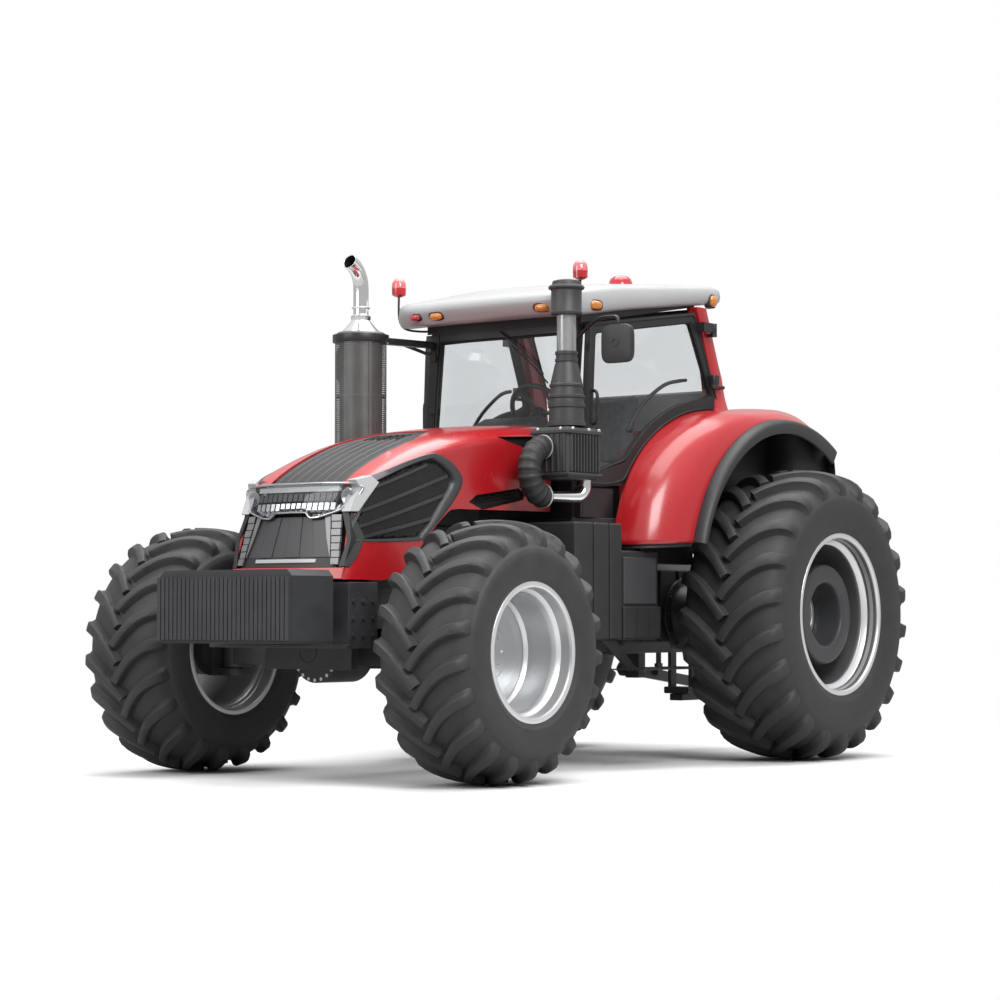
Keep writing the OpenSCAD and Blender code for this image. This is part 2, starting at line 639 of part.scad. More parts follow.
// Depth to which a hinge block reaches into the door panel, at a distance from the rear axle
function hinge_foot(x) = door_face_y - (x - door_hinge_x) * tan(door_angle) - 8;

module door_place() {
    translate([door_hinge_x, door_face_y, 0]) rotate([0, 0, -door_angle])
        translate([-door_hinge_x, 0, 0]) children();
}

module door() color("#17181a") {
    door_place() difference() {
        side_slab(door_edge, -door_t, 0);
        side_slab(glass_edge, -door_t - 1, 1);
    }
    for (z = [2326, 2646]) difference() {
        union() {
            translate([door_hinge_x, door_hinge_y, z]) cylinder(r = 20, h = 56);
            block([min(pillar_x(z) + 20, door_hinge_x), door_hinge_y - 12, z],
                [max(pillar_x(z) + 62, door_hinge_x), door_hinge_y + 12, z + 56]);
            block([pillar_x(z + 56) + 10, hinge_foot(pillar_x(z) + 62), z],
                [pillar_x(z) + 62, door_hinge_y + 12, z + 56]);
        }
        translate([door_hinge_x, door_hinge_y, z - 1]) cylinder(r = 10.05, h = 60);
    }
}

module door_glass() color("#bcd0d8") door_place() {
    intersection() {
        side_slab(glass_edge, -door_t / 2 - glass_t / 2, -door_t / 2 + glass_t / 2);
        side_slab(glass_edge, -door_t, 0);
    }
}

// Cab fittings

module seat() color("#2b2c2f") {
    block([560, -160, floor_z + fit], [900, 160, 1720]);
    side_slab([[480, 1719], [960, 1719], [985, 1790], [960, 1850], [480, 1830]], -250, 250);
    side_slab([[480, 1740], [590, 1800], [500, 2300], [440, 2320], [400, 2280]], -240, 240);
}

module dashboard() color("#26272a") {
    side_slab([[1300, floor_z + fit], [cowl_x - fit, floor_z + fit], [cowl_x - fit, 2040], [1480, 2090],
        [1330, 2000]], -220, 220);
    rod([1215 + 190 * 0.848, 0, 2130 - 190 * 0.53], [1215 + 10.4 * 0.848, 0, 2130 - 10.4 * 0.53], 35);
}

module steering_wheel() color("#1d1e20") translate([1215, 0, 2130]) rotate([0, -58, 0]) {
    rotate_extrude() translate([195, 0]) circle(16);
    for (a = [90, 210, 330]) rotate([0, 0, a]) translate([30, -16, -8]) cube([155, 32, 16]);
    translate([0, 0, -10]) cylinder(r = 45, h = 24);
}

module mirrors() color("#1b1c1e") both_sides() {
    rod([cowl_face(2450) + 14, cowl_y - 25, 2480], [1760, 800, 2600], 12);
    rod([1760, 800, 2600], [1830, 1000, 2600], 12);
    translate([1760, 800, 2600]) sphere(14);
    rod([1830, 1000, 2600], [1830, 1000, 2550], 12);
    translate([1830, 1000, 2600]) sphere(14);
    block([1812, 895, 2340], [1848, 1105, 2560]);
    block([cowl_face(2450) + fit, cowl_y - 50, 2450], [cowl_face(2450) + 16, cowl_y - 4, 2510]);
}

// Fenders

// Edges of a fender as points in X and Z: along the cab and along the flare
fender_in = concat(arc([380, 1130], 1022, 10, 90, 9), arc([0, 1030], 1122, 90, 121, 4));
fender_out = concat(arc([0, 1030], 1080, 15.8, 82, 9), arc([0, 1030], 1080, 92, 121, 4));
fender_mid = [150, 950];

function fender_row(i, t) = [for (s = [[0, 0], [0.35, 0.06], [0.65, 0.26], [0.86, 0.55], [0.96, 0.8], [1, 1]])
    let (p = mix(fender_in[i], fender_out[i], s[1]), v = fender_mid - p, q = p + v / norm(v) * t)
    [q[0], mix(wall_y, fender_y, s[0]), q[1]]];

module fender() color("#b3121c") {
    n = len(fender_in);
    shell([for (i = [0:n - 1]) fender_row(i, 0)], [for (i = [0:n - 1]) fender_row(i, fender_t)]);
    side_slab(concat([for (p = fender_in) p + (fender_mid - p) * 0.008],
        [[-500, 1600], [-400, 1420], [1360, 1420]]),
        wall_y, wall_y + wall_t);
}

module fenders() both_sides() fender();

function flare_row(i, t) = [for (s = [[0, 0], [0.5, -6], [0.85, 10], [1, 42]])
    let (p = fender_out[i], v = fender_mid - p, q = p + v / norm(v) * (s[1] + t))
    [q[0], mix(fender_y + fit, flare_y - (t > 0 ? 14 : 0), s[0]), q[1]]];

module fender_flares() color("#141517") both_sides() {
    n = len(fender_out);
    shell([for (i = [0:n - 1]) flare_row(i, 0)], [for (i = [0:n - 1]) flare_row(i, 20)]);
}

// Rear hitch

module drawbar() color("#2a2b2d") difference() {
    union() {
        block([-900, -50, 380 - 46], [100, 50, 380 - fit]);
        translate([-900, 0, 334]) cylinder(r = 50, h = 46 - fit);
    }
    translate([-900, 0, 300]) cylinder(d = drawbar_bore_d, h = 100);
}

module pto_shaft() color("#8a8d90") {
    rod([-350 - fit, 0, 720], [-370, 0, 720], 60);
    rod([-369, 0, 720], [-446, 0, 720], pto_d / 2);
}

module top_link() color("#2c2d30") difference() {
    union() {
        rod([-405, -31, 1020], [-405, 31, 1020], 32);
        rod([-405, 0, 1020], [-980, 0, 980], 24);
        rod([-980, -25, 980], [-980, 25, 980], 40);
        rod([-405, -95, 1020], [-405, 95, 1020], 12);
    }
    rod([-980, -60, 980], [-980, 60, 980], 16);
}

// Both lower links swing together on the pins of the gearbox
module lower_links() color("#2c2d30") both_sides() difference() {
    union() {
        strut([link_x, link_y, link_z], [link_end_x, link_y, link_end_z], 70, 36);
        rod([link_x, link_y - 22, link_z], [link_x, link_y + 22, link_z], 50);
        rod([link_end_x, link_y - 25, link_end_z], [link_end_x, link_y + 25, link_end_z], eye_r);
    }
    rod([link_x, link_y - 60, link_z], [link_x, link_y + 60, link_z], 24.06);
    rod([link_end_x, link_y - 60, link_end_z], [link_end_x, link_y + 60, link_end_z], link_bore_d / 2);
}

module lift_arms() color("#2c2d30") both_sides() difference() {
    union() {
        rod([arm_x, 290, arm_z], [arm_x, 350, arm_z], 75);
        strut([arm_x - 40, 320, arm_z - 5], [arm_x - arm_l + 10, 320, arm_z - arm_drop + 1], 62, 46);
        rod([arm_x - arm_l, 291, arm_z - arm_drop], [arm_x - arm_l, 346, arm_z - arm_drop], 42);
        rod([arm_x - arm_l, 340, arm_z - arm_drop], [arm_x - arm_l, 400, arm_z - arm_drop], 18);
    }
    rod([arm_x, 280, arm_z], [arm_x, 360, arm_z], 45.06);
}

module lift_rods() color("#46484b") both_sides() difference() {
    union() {
        rod([arm_x - arm_l, 356, arm_z - arm_drop], [arm_x - arm_l, 388, arm_z - arm_drop], 38);
        rod([arm_x - arm_l, 371, arm_z - arm_drop], [arm_x - arm_l, 371, arm_z - arm_drop - rod_drop], 18);
        block([arm_x - arm_l - 30, 357, arm_z - arm_drop - rod_drop - 40],
            [arm_x - arm_l + 30, 385, arm_z - arm_drop - rod_drop + 40]);
    }
    rod([arm_x - arm_l, 340, arm_z - arm_drop], [arm_x - arm_l, 420, arm_z - arm_drop], 18.06);
}

in_frame() front_frame();
in_frame() front_weights();
in_frame() engine_block();
in_frame() gearbox_housing();
in_frame() front_axle();
in_frame() fuel_tanks();
in_frame() steps();
in_frame() cab_floor();
in_frame() cab_front_frame();
in_frame() cab_rear_frame();
in_frame() windscreen();
in_frame() rear_window();
in_frame() roof();
in_frame() roof_lamps();
in_frame() beacon();
in_frame() marker_lamps();
in_frame() fenders();
in_frame() fender_flares();
in_frame() exhaust_muffler();
in_frame() exhaust_pipe();
in_frame() exhaust_bracket();
in_frame() air_cleaner();
in_frame() intake_stack();
in_frame() intake_hose();
in_frame() intake_pipe();
in_frame() seat();
in_frame() dashboard();
in_frame() steering_wheel();
in_frame() mirrors();
in_frame() drawbar();
in_frame() pto_shaft();
in_frame() top_link();
in_frame() lower_links();
in_frame() lift_arms();
in_frame() lift_rods();
in_frame() hood_shell();
in_frame() hood_vent();
in_frame() nose_grille();
in_frame() side_grilles();
in_frame() headlamps();
in_frame() door();  // door_left
in_frame() mirror([0, 1, 0]) door();  // door_right
in_frame() door_glass();  // door_glass_left
in_frame() mirror([0, 1, 0]) door_glass();  // door_glass_right
in_frame() knuckle();  // knuckle_left
in_frame() mirror([0, 1, 0]) knuckle();  // knuckle_right
in_frame() front_rim();  // rim_front_left
in_frame() mirror([0, 1, 0]) front_rim();  // rim_front_right
in_frame() rear_rim();  // rim_rear_left
in_frame() mirror([0, 1, 0]) rear_rim();  // rim_rear_right
in_frame() front_tyre();  // tyre_front_left
in_frame() mirror([0, 1, 0]) front_tyre();  // tyre_front_right
in_frame() rear_tyre();  // tyre_rear_left
in_frame() mirror([0, 1, 0]) rear_tyre();  // tyre_rear_right
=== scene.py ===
import math
import bmesh
import bpy
from mathutils import Matrix, Vector


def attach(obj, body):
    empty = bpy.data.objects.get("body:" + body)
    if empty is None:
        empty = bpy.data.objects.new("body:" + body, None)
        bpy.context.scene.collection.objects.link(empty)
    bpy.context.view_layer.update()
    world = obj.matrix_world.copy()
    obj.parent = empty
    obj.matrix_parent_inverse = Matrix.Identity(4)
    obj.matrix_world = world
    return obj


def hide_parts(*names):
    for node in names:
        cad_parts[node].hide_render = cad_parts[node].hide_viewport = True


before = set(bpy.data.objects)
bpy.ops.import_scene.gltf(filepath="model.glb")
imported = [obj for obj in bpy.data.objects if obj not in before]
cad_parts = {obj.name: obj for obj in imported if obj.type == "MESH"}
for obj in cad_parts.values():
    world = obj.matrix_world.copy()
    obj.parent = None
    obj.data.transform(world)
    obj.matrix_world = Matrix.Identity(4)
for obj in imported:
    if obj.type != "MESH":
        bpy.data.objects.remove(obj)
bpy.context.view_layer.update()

# Studio: a pale floor that turns white away from the tractor, a soft sky that is brightest overhead, large
# lamps above and to the left front, and the camera of the photo.
scene = bpy.context.scene
REAR = -1.404375  # rear axle along X; the sizes below count forward from it
azimuth, elevation = math.radians(36.955), math.radians(-2.551)
back = Vector((math.cos(azimuth) * math.cos(elevation), math.sin(azimuth) * math.cos(elevation),
               math.sin(elevation)))
camera = bpy.data.objects.new("camera", bpy.data.cameras.new("camera"))
scene.collection.objects.link(camera)
camera.location = (13.969 + REAR, 9.290, 0.897)
camera.rotation_mode = "QUATERNION"
camera.rotation_quaternion = (-back).to_track_quat("-Z", "Y")
film, focal = 36.0, 2.5776  # picture width in mm, and the focal length as a share of it
camera.data.sensor_width = film
camera.data.lens = film * focal
camera.data.clip_end = 400.0
scene.camera = camera
scene.view_settings.view_transform = "Standard"

floor_mesh = bpy.data.meshes.new("studio_floor")
floor_mesh.from_pydata([(-60, -60, 0), (60, -60, 0), (60, 60, 0), (-60, 60, 0)], [], [(0, 1, 2, 3)])
floor = bpy.data.objects.new("studio_floor", floor_mesh)
scene.collection.objects.link(floor)
floor_mat = bpy.data.materials.new("studio_white")
floor_mat.use_nodes = True
nodes, links = floor_mat.node_tree.nodes, floor_mat.node_tree.links
paper = nodes["Principled BSDF"]
paper.inputs["Roughness"].default_value = 0.9
paper.inputs["Specular IOR Level"].default_value = 0.1
fibre = nodes.new("ShaderNodeTexNoise")
fibre.inputs["Scale"].default_value = 5.0
tone = nodes.new("ShaderNodeMapRange")
tone.inputs["To Min"].default_value = 0.95
tone.inputs["To Max"].default_value = 0.97
links.new(fibre.outputs["Fac"], tone.inputs["Value"])


def seen_white(nodes, links):
    ray = nodes.new("ShaderNodeLightPath")
    mirrored, through = nodes.new("ShaderNodeMath"), nodes.new("ShaderNodeMath")
    mirrored.operation, through.operation, through.use_clamp = "MULTIPLY_ADD", "ADD", True
    mirrored.inputs[1].default_value = 0.4
    links.new(ray.outputs["Is Glossy Ray"], mirrored.inputs[0])
    links.new(ray.outputs["Is Camera Ray"], mirrored.inputs[2])
    links.new(mirrored.outputs["Value"], through.inputs[0])
    links.new(ray.outputs["Is Transmission Ray"], through.inputs[1])
    return through.outputs["Value"]


bounce = nodes.new("ShaderNodeMapRange")
bounce.inputs["To Min"].default_value = 0.45
links.new(seen_white(nodes, links), bounce.inputs["Value"])
shade = nodes.new("ShaderNodeMath")
shade.operation = "MULTIPLY"
links.new(tone.outputs["Result"], shade.inputs[0])
links.new(bounce.outputs["Result"], shade.inputs[1])
links.new(shade.outputs["Value"], paper.inputs["Base Color"])
spot = nodes.new("ShaderNodeTexCoord")
far = nodes.new("ShaderNodeVectorMath")
far.operation = "LENGTH"
links.new(spot.outputs["Object"], far.inputs[0])
fade = nodes.new("ShaderNodeMapRange")
fade.interpolation_type = "SMOOTHSTEP"
fade.inputs["From Min"].default_value = 2.6
fade.inputs["From Max"].default_value = 7.0
links.new(far.outputs["Value"], fade.inputs["Value"])
glow = nodes.new("ShaderNodeEmission")
links.new(bounce.outputs["Result"], glow.inputs["Strength"])
blend = nodes.new("ShaderNodeMixShader")
links.new(fade.outputs["Result"], blend.inputs["Fac"])
links.new(paper.outputs["BSDF"], blend.inputs[1])
links.new(glow.outputs["Emission"], blend.inputs[2])
links.new(blend.outputs["Shader"], nodes["Material Output"].inputs["Surface"])
floor_mesh.materials.append(floor_mat)

world = bpy.data.worlds.new("studio")
scene.world = world
world.use_nodes = True
nodes, links = world.node_tree.nodes, world.node_tree.links
sky = nodes["Background"]
spot = nodes.new("ShaderNodeTexCoord")
axis = nodes.new("ShaderNodeSeparateXYZ")
links.new(spot.outputs["Generated"], axis.inputs["Vector"])
rise = nodes.new("ShaderNodeMapRange")
rise.interpolation_type = "SMOOTHSTEP"
rise.inputs["From Min"].default_value = 0.05
rise.inputs["From Max"].default_value = 0.85
rise.inputs["To Min"].default_value = 0.14
rise.inputs["To Max"].default_value = 0.95
links.new(axis.outputs["Z"], rise.inputs["Value"])
links.new(rise.outputs["Result"], sky.inputs["Strength"])
sky.inputs["Color"].default_value = (1, 1, 1, 1)
seen = nodes.new("ShaderNodeBackground")
seen.inputs["Color"].default_value = (1, 1, 1, 1)
choose = nodes.new("ShaderNodeMixShader")
links.new(seen_white(nodes, links), choose.inputs["Fac"])
links.new(sky.outputs["Background"], choose.inputs[1])
links.new(seen.outputs["Background"], choose.inputs[2])
links.new(choose.outputs["Shader"], nodes["World Output"].inputs["Surface"])
for name, place, aim, size, power in (("key", (5, 8, 8), (0.3, 0, 1.2), 5.0, 760),
                                      ("front", (10, -3, 6), (1, 0, 1), 5.0, 320),
                                      ("top", (-1, 0, 9), (0, 0, 0), 8.0, 700)):
    lamp = bpy.data.objects.new(name, bpy.data.lights.new(name, "AREA"))
    lamp.data.size = size
    lamp.data.energy = power
    lamp.location = place
    lamp.rotation_mode = "QUATERNION"
    lamp.rotation_quaternion = (Vector(aim) - Vector(place)).to_track_quat("-Z", "Y")
    scene.collection.objects.link(lamp)


# Tyres: moulded black rubber, seated on the beads of each rim and held there by air. The side wall is smooth;
# two rows of tall curved bars, moulded in one with the casing, meet in a chevron on the crown.
HANDS = (("left", 1), ("right", -1))


def surface(name, colour, rough, metal=0.0, coat=0.0, spread=0.1, patch=3.0, grain=500.0, bump=0.1, dust=0.0,
            wave=0.08):
    mat = bpy.data.materials.new(name)
    mat.use_nodes = True
    n, l = mat.node_tree.nodes, mat.node_tree.links
    shader = n["Principled BSDF"]
    shader.inputs["Metallic"].default_value = metal
    shader.inputs["Coat Weight"].default_value = coat
    shader.inputs["Coat Roughness"].default_value = 0.04
    place = n.new("ShaderNodeTexCoord")
    cloud = n.new("ShaderNodeTexNoise")
    cloud.inputs["Scale"].default_value = patch
    cloud.inputs["Detail"].default_value = 6.0
    l.new(place.outputs["Object"], cloud.inputs["Vector"])
    shade = n.new("ShaderNodeValToRGB")
    for e, f in ((0, 1 - spread), (1, 1 + spread)):
        shade.color_ramp.elements[e].position = 0.3 + 0.4 * e
        shade.color_ramp.elements[e].color = (*[min(1.0, c * f) for c in colour], 1)
    l.new(cloud.outputs["Fac"], shade.inputs["Fac"])
    out = shade.outputs["Color"]
    if dust:
        up = n.new("ShaderNodeNewGeometry")
        axis = n.new("ShaderNodeSeparateXYZ")
        l.new(up.outputs["Normal"], axis.inputs["Vector"])
        rise = n.new("ShaderNodeMapRange")
        rise.inputs["From Min"].default_value = 0.1
        rise.inputs["To Max"].default_value = dust
        l.new(axis.outputs["Z"], rise.inputs["Value"])
        blend = n.new("ShaderNodeMixRGB")
        blend.inputs["Color2"].default_value = (0.30, 0.29, 0.27, 1)
        l.new(rise.outputs["Result"], blend.inputs["Fac"])
        l.new(out, blend.inputs["Color1"])
        out = blend.outputs["Color"]
    l.new(out, shader.inputs["Base Color"])
    gloss = n.new("ShaderNodeMapRange")
    gloss.inputs["To Min"].default_value = max(0.02, rough - wave)
    gloss.inputs["To Max"].default_value = min(1.0, rough + wave)
    l.new(cloud.outputs["Fac"], gloss.inputs["Value"])
    l.new(gloss.outputs["Result"], shader.inputs["Roughness"])
    speck = n.new("ShaderNodeTexNoise")
    speck.inputs["Scale"].default_value = grain
    l.new(place.outputs["Object"], speck.inputs["Vector"])
    relief = n.new("ShaderNodeBump")
    relief.inputs["Strength"].default_value = bump
    relief.inputs["Distance"].default_value = 0.001
    l.new(speck.outputs["Fac"], relief.inputs["Height"])
    l.new(relief.outputs["Normal"], shader.inputs["Normal"])
    return mat


def piece(name, verts, faces, mat, body, node=(), smooth=35.0, bevel=0.0, segments=2):
    mesh = bpy.data.meshes.new(name)
    mesh.from_pydata([tuple(v) for v in verts], [], faces)
    tidy = bmesh.new()
    tidy.from_mesh(mesh)
    bmesh.ops.remove_doubles(tidy, verts=tidy.verts, dist=1e-6)
    bmesh.ops.recalc_face_normals(tidy, faces=tidy.faces)
    tidy.to_mesh(mesh)
    tidy.free()
    mesh.polygons.foreach_set("use_smooth", [True] * len(mesh.polygons))
    mesh.set_sharp_from_angle(angle=math.radians(smooth))
    mesh.materials.append(mat)
    obj = bpy.data.objects.new(name, mesh)
    scene.collection.objects.link(obj)
    if bevel:
        mod = obj.modifiers.new("bevel", "BEVEL")
        mod.width = bevel
        mod.segments = segments
        mod.limit_method = "ANGLE"
        mod.angle_limit = math.radians(30)
        mod.harden_normals = True
    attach(obj, body)
    for n in ([node] if isinstance(node, str) else node):
        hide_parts(n)
    return obj


def curve_through(points, steps):
    out = []
    for i in range(len(points) - 1):
        p = [Vector(points[max(0, min(len(points) - 1, k))]) for k in (i - 1, i, i + 1, i + 2)]
        for j in range(steps):
            t = j / steps
            out.append(0.5 * (2 * p[1] + (p[2] - p[0]) * t + (2 * p[0] - 5 * p[1] + 4 * p[2] - p[3]) * t * t
                              + (3 * p[1] - p[0] - 3 * p[2] + p[3]) * t ** 3))
    return out + [Vector(points[-1])]


def around(n):
    return [2 * math.pi * i / n for i in range(n)]


def circle(n, r):
    return [(r * math.cos(a), r * math.sin(a)) for a in around(n)]


def quads(rows, k, base=0):
    starts = [base + i * k + j for i in range(rows - 1) for j in range(k - 1)]
    return [(q, q + 1, q + k + 1, q + k) for q in starts]


def spun_faces(turns, k):
    starts = [(i * k + j, (i + 1) % turns * k + j) for i in range(turns) for j in range(k - 1)]
    return [(a, a + 1, b + 1, b) for a, b in starts]


def lathe(profile, centre, side=1.0, segments=128):
    verts = [(centre[0] + r * math.cos(a), centre[1] + side * y, centre[2] + r * math.sin(a))
             for a in around(segments) for r, y in profile]
    return verts, spun_faces(segments, len(profile))


def tyre(name, centre, side, r, w, bead, seat, bars, sweep, tall, mat):
    hw, rc = w / 2, r - tall
    mid = lambda t: bead + (r - bead) * t
    half = curve_through([(rc, 0), (rc - 0.004, 0.30 * hw), (rc - 0.016, 0.56 * hw), (rc - 0.046, 0.80 * hw),
                          (rc - 0.105, 0.945 * hw), (mid(0.45), hw), (mid(0.24), 0.985 * hw),
                          (bead + 0.034, seat + 0.006), (bead + 0.012, seat - 0.008)], 6)
    ring = []
    for p in half:
        q = p.copy()
        for at, high in ((mid(0.14), 0.004), (mid(0.55), 0.003)):
            q[1] += high * max(0.0, 1 - abs(p[0] - at) / 0.012)
        ring.append(q)
    profile = [(bead, seat - 0.0115)] + [(p[0], p[1]) for p in reversed(ring)]
    profile += [(p[0], -p[1]) for p in ring[1:]] + [(bead, -seat + 0.0115)]
    verts, faces = lathe(profile, centre, side, 144)
    run = [0.0]
    for a, b in zip(half, half[1:]):
        run.append(run[-1] + (b - a).length)
    end = next(s for s, p in zip(run, half) if p[0] < mid(0.60) and p[1] > 0.5 * hw)

    def at(v):
        flip = -1.0 if v < 0 else 1.0
        v = abs(v)
        i = max(k for k in range(len(run) - 1) if run[k] <= v)
        t = (v - run[i]) / (run[i + 1] - run[i])
        p = half[i].lerp(half[i + 1], t)
        d = (half[i + 1] - half[i]).normalized()
        return p[0], flip * p[1], d[1], -flip * d[0]

    steps = 13
    for hand in (1, -1):
        for b in range(bars):
            first = 2 * math.pi * (b + (0.5 if hand < 0 else 0.0)) / bars - math.pi / 2 - 0.024 / r
            path = []
            for i in range(steps + 1):
                s = i / steps
                path.append(Vector((r * sweep * (1 - (1 - s) ** 1.9), -0.012 + (end + 0.012) * s)))
            base = len(verts)
            for i, p in enumerate(path):
                s = i / steps
                d = (path[min(i + 1, steps)] - path[max(i - 1, 0)]).normalized()
                across = Vector((d[1], -d[0]))
                top = (0.021 + 0.014 * s ** 1.5) * (r / 0.7)
                foot = top + 0.011 + 0.016 * s
                lift = tall * (1.0 if s < 0.72 else max(0.0, 1 - ((s - 0.72) / 0.28) ** 2.2))
                for off, high in ((-foot, -0.004), (-top - 0.004, lift * 0.45), (-top, lift - 0.005),
                                  (-top + 0.006, lift), (0, lift + 0.001), (top - 0.006, lift),
                                  (top, lift - 0.005), (top + 0.004, lift * 0.45), (foot, -0.004)):
                    u, v = p + across * off
                    high = min(high, lift)
                    rr, yy, nr, ny = at(v)
                    rr, yy = min(rr + high * nr, r), yy + high * ny
                    a = first + u / r
                    verts.append((centre[0] + rr * math.cos(a), centre[1] + side * hand * yy,
                                  centre[2] + rr * math.sin(a)))
            k = 9
            faces += quads(steps + 1, k, base) + [tuple(base + j for j in range(k))]
    return piece(name.replace("tyre_", "treaded_tyre_"), verts, faces, mat, name.replace("tyre_", "wheel_"),
                 name, smooth=40)


rubber = surface("tyre_rubber", (0.032, 0.032, 0.034), 0.60, spread=0.18, patch=9.0, grain=700, bump=0.25,
                 dust=0.06)
# place of the wheel (x, y, z), radius, width, bead radius, seat, bars on each side, sweep and height of a bar
sizes = {"front": (3.105, 1.055, 0.70, 0.70, 0.62, 0.3555, 0.285, 21, math.radians(19), 0.044),
         "rear": (0.0, 1.09, 0.90, 0.90, 0.71, 0.482, 0.325, 22, math.radians(18), 0.052)}
for end, (x, y, z, *form) in sizes.items():
    for hand, side in HANDS:
        tyre("tyre_%s_%s" % (end, hand), (x + REAR, side * y, z), side, *form, rubber)


# Rims: pressed and welded steel, painted silver, with a thick outer lip and a disc bolted to the hub. The
# rear ones carry a dark dish with a deep raised hub ring. The rear barrels take a darker copy of the silver
# as painted shade, and the lip, step and weld rings a lighter copy as a painted highlight.
silver = surface("rim_silver", (0.56, 0.57, 0.58), 0.36, metal=0.75, spread=0.04, grain=900, bump=0.04)
# a lighter copy of the silver paint: a painted highlight on the rim lips, steps and welds; also the bright
# steel of nuts, bolts and clamps
bright = surface("rim_bright_and_painted_highlight", (0.78, 0.78, 0.79), 0.34, metal=0.7, spread=0.03, grain=900, bump=0.03)
# a darker copy of the silver paint: painted shade on the rear barrels
rim_painted_shade = surface("rim_painted_shade", (0.20, 0.20, 0.205), 0.40, metal=0.6, spread=0.06, grain=900, bump=0.04)
dish_grey = surface("rim_dish_grey", (0.045, 0.046, 0.049), 0.42, spread=0.1, grain=600, bump=0.08)


def rounded(points, r, steps=4):
    out = [Vector(points[0])]
    for a, b, c in zip(points, points[1:], points[2:]):
        a, b, c = Vector(a), Vector(b), Vector(c)
        d = min(r, 0.45 * (a - b).length, 0.45 * (c - b).length)
        p, q = b + (a - b).normalized() * d, b + (c - b).normalized() * d
        out += [p.lerp(b, t / steps).lerp(b.lerp(q, t / steps), t / steps) for t in range(steps + 1)]
    return out + [Vector(points[-1])]


def nuts(name, centre, side, ring, y, count, r, tall, mat, body):
    verts, faces = [], []
    for i in range(count):
        a = 2 * math.pi * i / count
        c = Vector((centre[0] + ring * math.cos(a), centre[1] + side * y, centre[2] + ring * math.sin(a)))
        base = len(verts)
        for high, grow in ((0, 1.35), (0.2 * tall, 1.35), (0.22 * tall, 1.0), (0.9 * tall, 1.0),
                           (tall, 0.86)):
            for k in range(6):
                b = math.pi * k / 3 + a
                verts.append((c.x + r * grow * math.cos(b), c.y + side * high, c.z + r * grow * math.sin(b)))
        for level in range(4):
            for k in range(6):
                faces.append((base + level * 6 + k, base + level * 6 + (k + 1) % 6,
                              base + level * 6 + 6 + (k + 1) % 6, base + level * 6 + 6 + k))
        faces.append(tuple(base + 24 + k for k in range(6)))
    return piece(name, verts, faces, mat, body, smooth=25)


